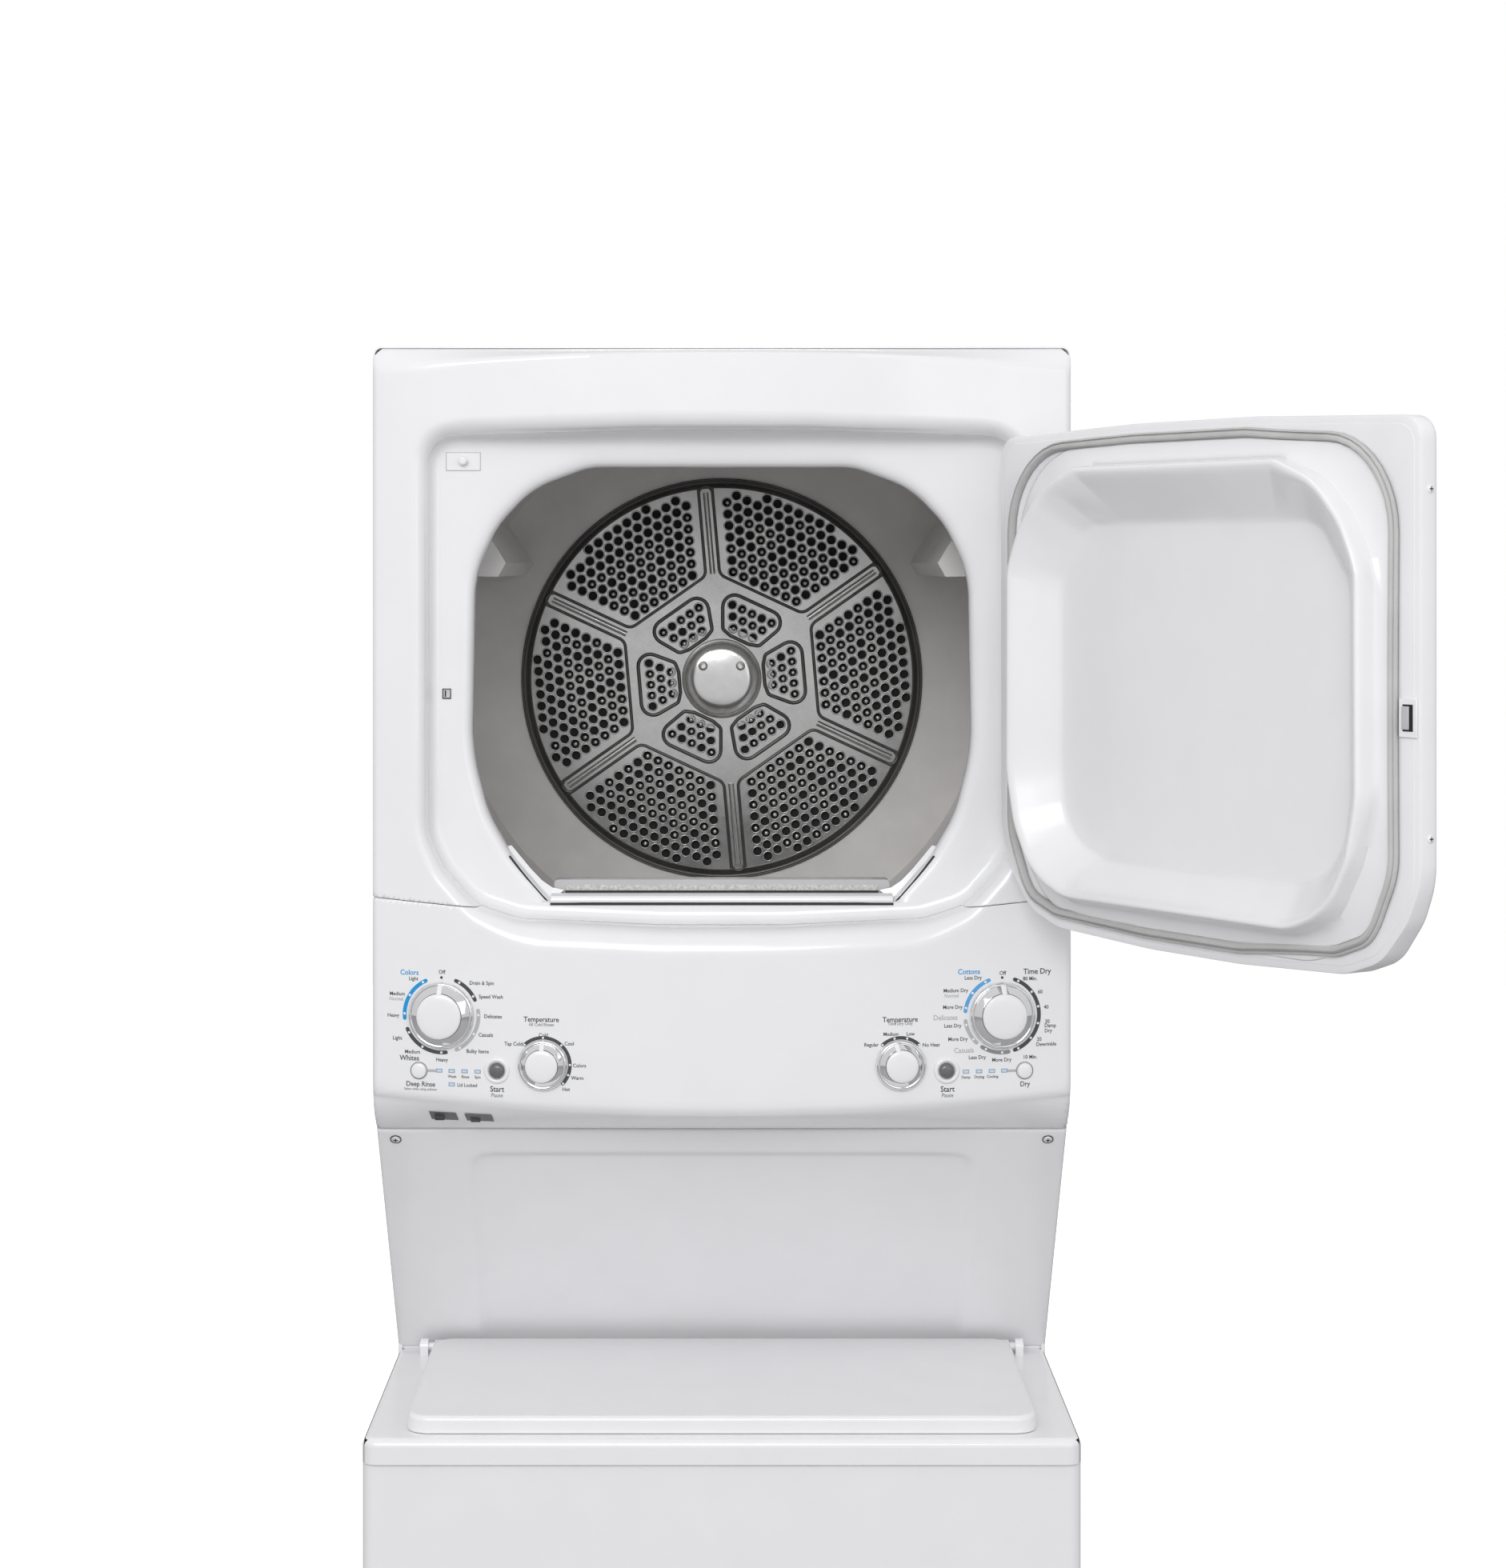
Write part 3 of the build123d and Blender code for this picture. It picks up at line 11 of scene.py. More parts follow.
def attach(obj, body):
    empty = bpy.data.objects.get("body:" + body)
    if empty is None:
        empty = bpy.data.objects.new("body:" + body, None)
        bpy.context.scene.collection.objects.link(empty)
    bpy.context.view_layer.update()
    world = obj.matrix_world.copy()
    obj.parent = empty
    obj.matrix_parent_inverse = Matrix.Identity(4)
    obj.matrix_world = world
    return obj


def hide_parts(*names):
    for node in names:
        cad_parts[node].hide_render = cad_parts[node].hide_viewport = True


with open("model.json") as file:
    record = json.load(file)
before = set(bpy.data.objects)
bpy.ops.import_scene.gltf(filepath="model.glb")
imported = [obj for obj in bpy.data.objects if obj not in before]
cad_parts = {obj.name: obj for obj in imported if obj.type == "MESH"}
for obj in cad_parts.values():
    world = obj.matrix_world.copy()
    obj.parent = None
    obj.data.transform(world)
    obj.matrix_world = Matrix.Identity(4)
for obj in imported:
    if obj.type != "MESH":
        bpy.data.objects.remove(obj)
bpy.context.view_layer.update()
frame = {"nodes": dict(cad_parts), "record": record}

MM = 0.001                                     # points are worked out in millimetres
random.seed(11)
NODES = frame["nodes"]
FRONT = (0, -1, 0)


# ---------------------------------------------------------------- materials
def socket(nodes, kind, **inputs):
    """New node with the named inputs set."""
    node = nodes.new(kind)
    for name, value in inputs.items():
        node.inputs[name.replace("_", " ")].default_value = value
    return node


def material(name, color, rough, metal=0.0, coat=0.0, vary=0.04, scale=18.0, bump=0.1, bump_scale=900.0,
             bump_mm=0.02, rough_vary=0.08, spec=0.5, speck=None, emit=0.0):
    """Principled surface whose colour, roughness and relief all vary with noise in object space."""
    mat = bpy.data.materials.new(name)
    mat.use_nodes = True
    tree = mat.node_tree
    nodes, link = tree.nodes, tree.links.new
    shader = nodes["Principled BSDF"]
    place = nodes.new("ShaderNodeTexCoord").outputs["Object"]
    broad = socket(nodes, "ShaderNodeTexNoise", Scale=scale, Detail=4.0, Roughness=0.55)
    fine = socket(nodes, "ShaderNodeTexNoise", Scale=bump_scale, Detail=3.0, Roughness=0.6)
    link(place, broad.inputs["Vector"])
    link(place, fine.inputs["Vector"])
    ramp = nodes.new("ShaderNodeValToRGB")
    for stop, position, change in zip(ramp.color_ramp.elements, (0.3, 0.7), (1 - vary, 1 + vary)):
        stop.position = position
        stop.color = (*(min(1.0, c * change) for c in color), 1)
    link(broad.outputs["Fac"], ramp.inputs["Fac"])
    out = ramp.outputs["Color"]
    if speck:
        spots = socket(nodes, "ShaderNodeTexVoronoi", Scale=speck[0])
        link(place, spots.inputs["Vector"])
        mask = nodes.new("ShaderNodeMapRange")
        mask.inputs["From Min"].default_value = speck[1]
        mask.inputs["From Max"].default_value = speck[1] * 0.5
        link(spots.outputs["Distance"], mask.inputs["Value"])
        mix = nodes.new("ShaderNodeMix")
        mix.data_type = "RGBA"
        mix.inputs[7].default_value = (*speck[2], 1)
        link(mask.outputs["Result"], mix.inputs[0])
        link(out, mix.inputs[6])
        out = mix.outputs[2]
    link(out, shader.inputs["Base Color"])
    level = nodes.new("ShaderNodeMapRange")
    level.inputs["To Min"].default_value = max(0.0, rough - rough_vary)
    level.inputs["To Max"].default_value = min(1.0, rough + rough_vary)
    link(fine.outputs["Fac"], level.inputs["Value"])
    link(level.outputs["Result"], shader.inputs["Roughness"])
    relief = socket(nodes, "ShaderNodeBump", Strength=bump, Distance=bump_mm * MM)
    link(fine.outputs["Fac"], relief.inputs["Height"])
    link(relief.outputs["Normal"], shader.inputs["Normal"])
    shader.inputs["Metallic"].default_value = metal
    shader.inputs["Coat Weight"].default_value = coat
    shader.inputs["Coat Roughness"].default_value = 0.08
    shader.inputs["Specular IOR Level"].default_value = spec
    if emit:
        shader.inputs["Emission Color"].default_value = (*color, 1)
        shader.inputs["Emission Strength"].default_value = emit
    return mat


M = {
    "white_enamel": material("enamel_white", (0.86, 0.86, 0.875), 0.22, coat=0.5, vary=0.012, bump=0.06,
                             bump_scale=420, bump_mm=0.03, rough_vary=0.04),
    "white_plastic": material("plastic_white", (0.86, 0.86, 0.875), 0.24, coat=0.35, vary=0.012, bump=0.08,
                              bump_scale=700, bump_mm=0.02, rough_vary=0.05),
    "chrome": material("chrome_plated", (0.86, 0.86, 0.87), 0.07, metal=1.0, vary=0.02, bump=0.03,
                       bump_scale=300, rough_vary=0.03),
    "stainless": material("stainless_sheet", (0.56, 0.56, 0.555), 0.24, metal=1.0, vary=0.07, scale=30,
                          bump=0.25, bump_scale=160, bump_mm=0.12, rough_vary=0.07),
    "drum_paint": material("drum_coating", (0.80, 0.785, 0.775), 0.4, vary=0.05, bump=0.15, bump_scale=260,
                           bump_mm=0.06, coat=0.15),
    "dark_rubber": material("rubber_dark", (0.045, 0.045, 0.047), 0.7, vary=0.12, bump=0.3, bump_scale=600,
                            bump_mm=0.05, spec=0.3),
    "grey_plastic": material("plastic_grey", (0.3, 0.3, 0.31), 0.5, vary=0.05, bump=0.2, bump_scale=500),
    "black_plastic": material("plastic_black", (0.02, 0.02, 0.022), 0.45, vary=0.15, bump=0.2, bump_scale=500),
    "zinc_steel": material("galvanised_steel", (0.5, 0.51, 0.53), 0.38, metal=0.85, vary=0.12, scale=60,
                           bump=0.15, bump_scale=120, bump_mm=0.05, speck=(220.0, 0.35, (0.56, 0.57, 0.6))),
    "felt": material("felt_grey", (0.5, 0.48, 0.45), 0.95, vary=0.2, scale=300, bump=0.9, bump_scale=1500,
                     bump_mm=0.4, spec=0.1),
    "aluminium_duct": material("aluminium_duct", (0.75, 0.76, 0.78), 0.3, metal=1.0, vary=0.06, bump=0.3,
                               bump_scale=90, bump_mm=0.15),
    "motor_metal": material("motor_paint", (0.06, 0.065, 0.07), 0.5, metal=0.3, vary=0.15, bump=0.2),
    "lens_plastic": material("lens_blue_grey", (0.3, 0.42, 0.56), 0.25, coat=0.5, vary=0.08),
    "light_grey_plastic": material("plastic_light_grey", (0.52, 0.52, 0.53), 0.42, vary=0.05, bump=0.2,
                                   bump_scale=500),
}
M["gasket"] = material("gasket_grey", (0.53, 0.525, 0.52), 0.55, vary=0.08, bump=0.25, bump_scale=700,
                       bump_mm=0.05, spec=0.35)
M["ink_dark"] = material("ink_dark", (0.055, 0.06, 0.065), 0.5, vary=0.1)
M["ink_grey"] = material("ink_mid_grey", (0.26, 0.265, 0.275), 0.5, vary=0.08)
M["ink_light"] = material("ink_light_grey", (0.47, 0.475, 0.485), 0.5, vary=0.06)
M["ink_blue"] = material("ink_blue", (0.0, 0.3, 0.68), 0.45, vary=0.06)
M["ink_sky"] = material("ink_sky_blue", (0.1, 0.38, 0.72), 0.45, vary=0.06)
M["ink_white"] = material("ink_white", (0.85, 0.85, 0.86), 0.5, vary=0.03)
# painted shade: a near-black for the gaps, seams and thin rings where only shadow would show
M["shadow_gap"] = material("gap_painted_shade_dark", (0.03, 0.03, 0.032), 0.8, vary=0.1)
# painted shade: a near-black for the insides of holes, slots, recesses and pockets, and the disc behind the drum's
# perforations
M["hole_dark"] = material("hole_dark", (0.012, 0.012, 0.012), 0.7, vary=0.2)
M["button_grey"] = material("button_grey", (0.13, 0.13, 0.135), 0.28, coat=0.4, vary=0.06)
M["lens_window"] = material("lens_window", (0.62, 0.72, 0.82), 0.25, coat=0.5, vary=0.05)
M["hub_steel"] = material("hub_polished", (0.8, 0.8, 0.795), 0.16, metal=1.0, vary=0.05, scale=40, bump=0.35,
                          bump_scale=45, bump_mm=0.3, rough_vary=0.05)
M["bolt_steel"] = material("bolt_steel", (0.42, 0.41, 0.38), 0.4, metal=0.9, vary=0.15)
M["screw_steel"] = material("screw_steel", (0.86, 0.86, 0.87), 0.45, metal=0.55, vary=0.1)
# painted shade: the dark ring round the drum's back sheet stands in for the shadow in the step at its edge
M["drum_rim"] = material("rim_painted_shade_dark", (0.05, 0.048, 0.046), 0.3, metal=0.6, vary=0.2, bump=0.2)
# painted shade: a darkened copy of the steel for the disc's embossed grooves, standing in for the shade in them
M["groove_painted_shade_steel"] = material("groove_painted_shade_steel", (0.11, 0.108, 0.105), 0.3, metal=0.8, vary=0.2, bump=0.2)
M["felt_light"] = material("felt_light", (0.6, 0.595, 0.58), 0.95, vary=0.25, scale=400, bump=0.9, bump_scale=1400,
                           bump_mm=0.5, spec=0.1)
M["switch_grey"] = material("switch_grey", (0.16, 0.162, 0.168), 0.5, vary=0.1, bump=0.2)
M["floor"] = material("studio_floor", (0.92, 0.92, 0.92), 0.9, vary=0.01, spec=0.1, emit=0.75)
for node, obj in NODES.items():
    part = next(p for p in frame["record"]["subparts"] if p["node"] == node)
    obj.data.materials.clear()
    obj.data.materials.append(M[part["material_slot"]])


# ---------------------------------------------------------------- mesh tools
def piece(name, verts, faces, mat, body, slot, angle=35, solid=0.0, replaces=(), turn=None, merge=0.02,
          bevel=0.0, outward=None):
    """Mesh object from millimetre points, cleaned, shaded, riding on a body. mat is a key of M."""
    me = bpy.data.meshes.new(name)
    me.from_pydata([Vector(v) * MM for v in verts], [], faces)
    bm = bmesh.new()
    bm.from_mesh(me)
    bmesh.ops.remove_doubles(bm, verts=bm.verts, dist=merge * MM)
    bmesh.ops.dissolve_degenerate(bm, edges=bm.edges, dist=1e-6)
    bmesh.ops.recalc_face_normals(bm, faces=bm.faces)
    if outward is not None:
        total = Vector((0, 0, 0))
        for f in bm.faces:
            total += f.normal * f.calc_area()
        if total.dot(Vector(outward)) < 0:
            bmesh.ops.reverse_faces(bm, faces=bm.faces)
    loose = [v for v in bm.verts if not v.link_faces]
    bmesh.ops.delete(bm, geom=loose, context="VERTS")
    if turn is not None:
        bmesh.ops.transform(bm, matrix=turn, verts=bm.verts)
    bm.to_mesh(me)
    bm.free()
    me.shade_smooth()
    me.set_sharp_from_angle(angle=radians(angle))
    obj = bpy.data.objects.new(name, me)
    bpy.context.scene.collection.objects.link(obj)
    me.materials.append(M[mat])
    if solid:
        mod = obj.modifiers.new("sheet", "SOLIDIFY")
        mod.thickness = solid * MM
        mod.offset = -1
    if bevel:
        mod = obj.modifiers.new("edges", "BEVEL")
        mod.width = bevel * MM
        mod.segments = 2
        mod.limit_method = "ANGLE"
    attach(obj, body)
    if replaces:
        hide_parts(*replaces)
    return obj


def grid_faces(rows, cols, closed=False, offset=0):
    """Quads over rows of points, closed round each row if asked."""
    faces = []
    for i in range(rows - 1):
        for j in range(cols if closed else cols - 1):
            k = (j + 1) % cols
            faces.append((offset + i * cols + j, offset + i * cols + k,
                          offset + (i + 1) * cols + k, offset + (i + 1) * cols + j))
    return faces


def lathe(profile, steps=64, cap=True):
    """Verts and faces of a turned shape: profile is (radius, height) pairs, heights along local Z."""
    turns = [2 * pi * k / steps for k in range(steps)]
    verts = [(r * cos(a), r * sin(a), h) for r, h in profile for a in turns]
    faces = grid_faces(len(profile), steps, closed=True)
    if cap:
        faces.append(tuple(range(steps - 1, -1, -1)))
        last = (len(profile) - 1) * steps
        faces.append(tuple(range(last, last + steps)))
    return verts, faces


def placed(verts, matrix):
    return [tuple(matrix @ Vector(v)) for v in verts]


def turned(name, profile, matrix, mat, body, slot, steps=64, cap=True, **kw):
    """Lathed piece set down at a matrix."""
    v, f = lathe(profile, steps, cap)
    piece(name, placed(v, matrix), f, mat, body, slot, **kw)


def box_mesh(x0, x1, y0, y1, z0, z1):
    verts = [(x, y, z) for z in (z0, z1) for y in (y0, y1) for x in (x0, x1)]
    faces = [(0, 2, 3, 1), (4, 5, 7, 6), (0, 1, 5, 4), (2, 6, 7, 3), (0, 4, 6, 2), (1, 3, 7, 5)]
    return verts, faces


def box_piece(name, box, *rest, **kw):
    piece(name, *box_mesh(*box), *rest, **kw)


def joined(parts):
    """One list of verts and one of faces from several."""
    verts, faces = [], []
    for v, f in parts:
        base = len(verts)
        verts += v
        faces += [tuple(base + i for i in face) for face in f]
    return verts, faces


def joined_piece(name, parts, *rest, **kw):
    piece(name, *joined(parts), *rest, **kw)


def polar(r, deg):
    return r * cos(radians(deg)), r * sin(radians(deg))


def circle(cx, cz, r, n):
    return [(cx + r * cos(2 * pi * k / n), cz + r * sin(2 * pi * k / n)) for k in range(n)]


def rounded(corners, radii, steps=9):
    """Closed outline with rounded corners."""
    out = []
    n = len(corners)
    for i in range(n):
        p, a, b = Vector(corners[i]), Vector(corners[i - 1]), Vector(corners[(i + 1) % n])
        u, v = (a - p), (b - p)
        lu, lv = u.length, v.length
        u, v = u / lu, v / lv
        half = acos(max(-1, min(1, u.dot(v)))) / 2
        reach = min(radii[i] / tan(half), 0.48 * lu, 0.48 * lv)
        r = reach * tan(half)
        if r < 0.05 or half > 1.565:
            out.append(tuple(p))
            continue
        centre = p + (u + v).normalized() * (r / sin(half))
        s, e = p + u * reach - centre, p + v * reach - centre
        a0 = atan2(s.y, s.x)
        turn = atan2(e.y, e.x) - a0
        turn = (turn + pi) % (2 * pi) - pi
        for k in range(steps + 1):
            t = a0 + turn * k / steps
            out.append((centre.x + r * cos(t), centre.y + r * sin(t)))
    return out


def pushed(corners, amount):
    """Moves every edge of a clockwise outline out by amount (a number, or one per edge)."""
    n = len(corners)
    amounts = amount if isinstance(amount, (list, tuple)) else [amount] * n
    lines = []
    for i in range(n):
        p, q = Vector(corners[i]), Vector(corners[(i + 1) % n])
        d = (q - p).normalized()
        normal = Vector((-d.y, d.x))
        lines.append((p + normal * amounts[i], d))
    out = []
    for i in range(n):
        (p, d), (q, e) = lines[i - 1], lines[i]
        cross = d.x * e.y - d.y * e.x
        if abs(cross) < 1e-6:
            out.append(tuple(q))
            continue
        t = ((q.x - p.x) * e.y - (q.y - p.y) * e.x) / cross
        out.append(tuple(p + d * t))
    return out


# The front sheet, console and door are grids over rays in the X-Z plane, all from one centre.
CENTRE = (0.0, 1600.0)
COLUMNS = 720
THETA = np.linspace(0, 2 * pi, COLUMNS, endpoint=False)
COS, SIN = np.cos(THETA), np.sin(THETA)


def cast(outline):
    """Distance from the centre to a star-shaped outline along each ray."""
    pts = []
    n = len(outline)
    for i in range(n):
        p, q = outline[i], outline[(i + 1) % n]
        cuts = max(1, int(dist(p, q) / 3.0))
        for k in range(cuts):
            t = k / cuts
            pts.append((p[0] + (q[0] - p[0]) * t - CENTRE[0], p[1] + (q[1] - p[1]) * t - CENTRE[1]))
    pts = np.array(pts)
    ang = np.arctan2(pts[:, 1], pts[:, 0]) % (2 * pi)
    rad = np.hypot(pts[:, 0], pts[:, 1])
    order = np.argsort(ang)
    ang, rad = ang[order], rad[order]
    ang = np.concatenate([ang[-3:] - 2 * pi, ang, ang[:3] + 2 * pi])
    rad = np.concatenate([rad[-3:], rad, rad[:3]])
    return np.interp(THETA % (2 * pi), ang, rad)


# ---------------------------------------------------------------- front outlines
HALF = 340.0                                   # half the cabinet's width
CROWN, BOW = -335.0, 35.0                      # front of the bow at the middle, and how far its sides fall back
RADIUS = (HALF ** 2 + BOW ** 2) / (2 * BOW)
FLOOR_Y = -281.0                               # floor of the door's recess
LIP_Y = -262.0                                 # inner end of the opening's lip
FOLD_Y = -282.0                                # back edge of the front sheet
SHELL_TOP = 1925.4
CHIN_BACK_Y, CHIN_BACK_Z = -264.0, 1159.0      # back edge of the console's turned-under chin
MISS = 1e4                                     # stands for a ray that never meets the seam


def bow(x):
    """Depth of the bowed front at x."""
    return CROWN + RADIUS - np.sqrt(RADIUS ** 2 - np.asarray(x, float) ** 2)


def both(half):
    """Clockwise outline from the right half, given from top to bottom."""
    return half + [(-x, z) for x, z in reversed(half)]


RECESS = both([(80, 1845.5), (286, 1839), (286, 1452), (270, 1419), (239, 1384), (196, 1370), (60, 1364)])
RECESS_R = [300, 27, 70, 60, 50, 70, 300, 300, 70, 50, 60, 70, 27, 300]
OPENING = both([(130, 1810), (186, 1789), (219, 1754), (242, 1707), (245, 1532), (229, 1470),
                (205, 1428), (169, 1387)])
OPENING_R = [70, 90, 90, 120, 200, 120, 90, 7]
OPENING_R = OPENING_R + OPENING_R[::-1]


def recess_ring(s):
    """Outline of the door's recess, s outside its wall."""
    radii = [max(4.0, r + s) for r in RECESS_R]
    return cast(rounded(pushed(RECESS, s), radii))


def opening_ring(s):
    """Outline of the drum's opening, s outside its edge."""
    return cast(rounded(pushed(OPENING, s), [r + s for r in OPENING_R]))


def at(r):
    """X and Z of the points at distances r along the rays."""
    return CENTRE[0] + r * COS, CENTRE[1] + r * SIN


def even(y):
    """The same depth on every ray."""
    return np.full(COLUMNS, y)


def shoulder_z(x):
    """Height at which the bowed face starts to lean back to the top."""
    return 1905.0 + 15.0 * (1 - (np.abs(x) / HALF) ** 2)


def chin_z(x):
    """Height of the console's lower crease."""
    return 1183.5 + 13.2 * (np.abs(x) / HALF) ** 2


# roll width and depth round the recess: narrow at the sides, wide along the console's ledge
between = np.interp(np.abs(THETA - 1.5 * pi), [0.0, 0.62, 0.86], [1.0, 1.0, 0.0])
ROLL = 15.0 + 2.0 * np.clip(SIN, 0, 1) + 11.0 * between
zero = recess_ring(0.0)
wide = recess_ring(30.0)
SEAM_X, SEAM_DROP = 237.0, 217.7               # the seam's inner end, from the rays' centre
SEAM_DX, SEAM_DZ = 123.0, 10.4                 # and how it runs out and up from there
TIP = atan2(SEAM_X, SEAM_DROP)                 # angles from straight down
EDGE = atan2(HALF, 209)


def seam_distance(theta):
    """Distance along a ray to where the console begins, MISS above it, or -1 under the recess."""
    phi = abs(theta - 1.5 * pi)
    if phi < TIP:
        return -1.0
    if phi > EDGE + 0.02:
        return MISS
    return (SEAM_X * SEAM_DZ + SEAM_DROP * SEAM_DX) / (sin(phi) * SEAM_DZ + cos(phi) * SEAM_DX)


END = np.array([seam_distance(t) for t in THETA])
END = np.where(END < 0, zero, END)
SEAMED = END < MISS * 0.9                      # rays that cross onto the console
APART = END > zero + 0.5                       # rays where the seam lies out on the bowed face

PROFILE = []                                   # (distance along rays, depth) of the whole front, outwards
for s, y in ((0.0, LIP_Y), (0.0, LIP_Y - 6), (0.6, LIP_Y - 10.5), (2.2, LIP_Y - 14), (5.0, LIP_Y - 16.8),
             (9.0, LIP_Y - 18.4), (14.0, FLOOR_Y)):
    PROFILE.append((np.minimum(opening_ring(s), zero * 0.985 - 14), even(y)))
COVE = 12.0                                    # radius where the recess floor meets its wall
inner = PROFILE[-1][0]
foot = np.maximum(recess_ring(-COVE), inner + 0.5)
for t in (0.33, 0.66):
    PROFILE.append((inner + (foot - inner) * t, even(FLOOR_Y)))
for k in range(7):
    a = pi / 2 * k / 6
    PROFILE.append((foot + (zero - foot) * sin(a), even(FLOOR_Y - COVE * (1 - cos(a)))))
per_mm = (wide - zero) / 30.0
crest = bow(at(zero + per_mm * ROLL)[0])
for k in range(13):
    a = pi / 2 * k / 12
    s = ROLL * (1 - cos(a))
    depth = np.minimum(ROLL, FLOOR_Y - COVE - 0.5 - crest)
    r = zero + per_mm * s
    PROFILE.append((r, crest + depth * (1 - sin(a)) + (bow(at(r)[0]) - crest) * (s / ROLL) ** 2))
rolled = PROFILE[-1][0]


def outer_rings(console):
    """Rings from the bowed face round the shoulders to the folded back edge."""
    rings = []
    spec = ((14, -9), (9, -4), (6.2, -1.5), (4.8, 0.4), (3.2, 0.25), (1.8, 0.5), (0.8, 0.75), (0.2, 0.95),
            (0.0, 1.0))
    for i, (inset, rise) in enumerate(spec):
        def z_top(x, i=i, rise=rise):
            s = shoulder_z(x)
            return s + rise if i < 4 else s + (SHELL_TOP - s) * rise
        shape = []
        xs = np.linspace(-(HALF - inset), HALF - inset, 81)
        for x in xs:
            corner = max(0.0, abs(x) - (HALF - inset - 9 + min(inset, 6)))
            r = 9 - min(inset, 6)
            cut = r - sqrt(max(0.0, r * r - corner * corner))
            shape.append((float(x), float(z_top(x) - cut)))
        if console:
            base = chin_z(xs[::-1]) + (10, 7, 5, 3.6, 2.6, 1.8, 1.0, 0.4, 0.0)[i]
            shape += [(float(x), float(z)) for x, z in zip(xs[::-1], base)]
        else:
            shape += [(HALF - inset, 1250.0), (-(HALF - inset), 1250.0)]
        r = cast(shape)
        x, z = at(r)
        over = np.clip(np.abs(x) - (HALF - 6), 0, 6)
        y = bow(x) + 6 - np.sqrt(36 - over ** 2)
        s = shoulder_z(x)
        lean = bow(x) + (z - s) * (-290.0 - bow(x)) / np.maximum(2.0, SHELL_TOP - s)
        soft = 1.2
        y = np.where(z > s - 12, soft * np.logaddexp(y / soft, lean / soft), y)
        y = np.minimum(y, -289.0)
        if console:
            under = np.clip((chin_z(x) + 10.5 - z) / 10.5, 0, 1)
            y = np.where(z < chin_z(x) + 10.5, y + 5.0 * under ** 2, y)
        rings.append((r, y))
    return rings


def column_mesh(profile, keep, lo=None, hi=None):
    """Clips a profile between two distances on each ray and returns the verts over the kept rays, with the counts of
    rings and of kept rays.
    """
    R = np.array([p[0] for p in profile])
    Y = np.array([p[1] for p in profile])
    R = np.maximum.accumulate(R + np.arange(len(R))[:, None] * 1e-5, axis=0)
    verts = []
    cols = np.where(keep)[0]
    for c in cols:
        r, y = R[:, c], Y[:, c]
        a = r[0] if lo is None else lo[c]
        b = r[-1] if hi is None else hi[c]
        rr = np.clip(r, a, b)
        yy = np.where((r >= a) & (r <= b), y, np.interp(rr, r, y))
        verts.append(np.stack([CENTRE[0] + rr * COS[c], yy, CENTRE[1] + rr * SIN[c]], axis=1))
    verts = np.array(verts).transpose(1, 0, 2)     # ring, column, xyz
    return verts.reshape(-1, 3).tolist(), len(R), len(cols)


def bowed_face(start, outer):
    """Rings over the bowed face, between the roll round the recess and the outer rings."""
    rings = []
    for t in np.linspace(0.02, 0.96, FACE_RINGS):
        r = start + (outer[0][0] - rolled) * t
        rings.append((r, bow(at(r)[0])))
    return rings


FACE_RINGS = 22                                # enough to keep the seam's edge smooth
SEAM_HALF = 0.5                                # half the seam's gap, along a ray

# ---------------------------------------------------------------- dryer front panel
outer = outer_rings(False)
front = PROFILE + bowed_face(rolled, outer) + outer
front.append((front[-1][0] + 0.01, even(FOLD_Y)))
gap = np.where(SEAMED & APART, SEAM_HALF, 0.0)
verts, rows, cols = column_mesh(front, np.ones(COLUMNS, bool), hi=END - gap)
piece("dryer_front_sheet", verts, grid_faces(rows, cols, closed=True), "white_enamel", "cabinet",
      "white_enamel", angle=50, solid=1.0, replaces=("dryer_front_panel",), outward=FRONT)

# ---------------------------------------------------------------- console
def chin_curve(start, end, bend, t):
    """Quadratic curve of the turned-under chin, from start to end."""
    return (1 - t) ** 2 * start + 2 * t * (1 - t) * (start + (end - start) * bend) + t * t * end


CHIN_BEND_Y, CHIN_BEND_Z = 0.36, 0.55          # where the curve's middle point lies between its ends
outer = outer_rings(True)
shell = PROFILE + bowed_face(np.maximum(rolled, zero), outer) + outer
edge_y = shell[-1][1]
xs = np.linspace(-HALF, HALF, 121)
for k in range(1, 11):
    t = k / 10.0
    zk = chin_curve(chin_z(xs), CHIN_BACK_Z, CHIN_BEND_Z, t)
    r = cast([(-HALF, 1700.0), (HALF, 1700.0)] + [(float(x), float(z)) for x, z in zip(xs[::-1], zk[::-1])])
    x, z = at(r)
    at_side = (np.abs(x) > HALF - 0.05) & (z > 1200.5)
    shell.append((r, np.where(at_side, edge_y + (FLOOR_Y - edge_y) * t,
                              chin_curve(edge_y, CHIN_BACK_Y, CHIN_BEND_Y, t))))
verts, rows, cols = column_mesh(shell, (THETA > pi) & SEAMED, lo=np.where(APART, END + SEAM_HALF, zero))
piece("console_shell", verts, grid_faces(rows, cols), "white_plastic", "cabinet", "white_plastic", angle=50,
      solid=1.2, replaces=("control_console",), outward=FRONT)


# dark strip behind the seam at both sides: painted shade standing in for the shadow in the gap
def depth_at(profile, column, r):
    return float(np.interp(r, [p[0][column] for p in profile], [p[1][column] for p in profile]))


def strip(row):
    """Closed bar through a row of four-cornered sections."""
    end = 4 * (len(row) - 1)
    return [point for ring in row for point in ring], \
        grid_faces(len(row), 4, closed=True) + [(3, 2, 1, 0), tuple(end + i for i in range(4))]


strips = []
for sign in (-1, 1):
    row = []
    for c in np.where(SEAMED & APART & (COS * sign >= 0) & (END <= outer[0][0] - 1))[0]:
        ring = []
        for out, back in ((-2.0, 1.5), (2.5, 1.5), (2.5, 4.0), (-2.0, 4.0)):
            r = END[c] + out
            ring.append((CENTRE[0] + r * COS[c], depth_at(shell, c, r) + back, CENTRE[1] + r * SIN[c]))
        row.append(ring)
    strips.append(strip(row))
joined_piece("seam_painted_shade", strips, "shadow_gap", "cabinet", "black_plastic")


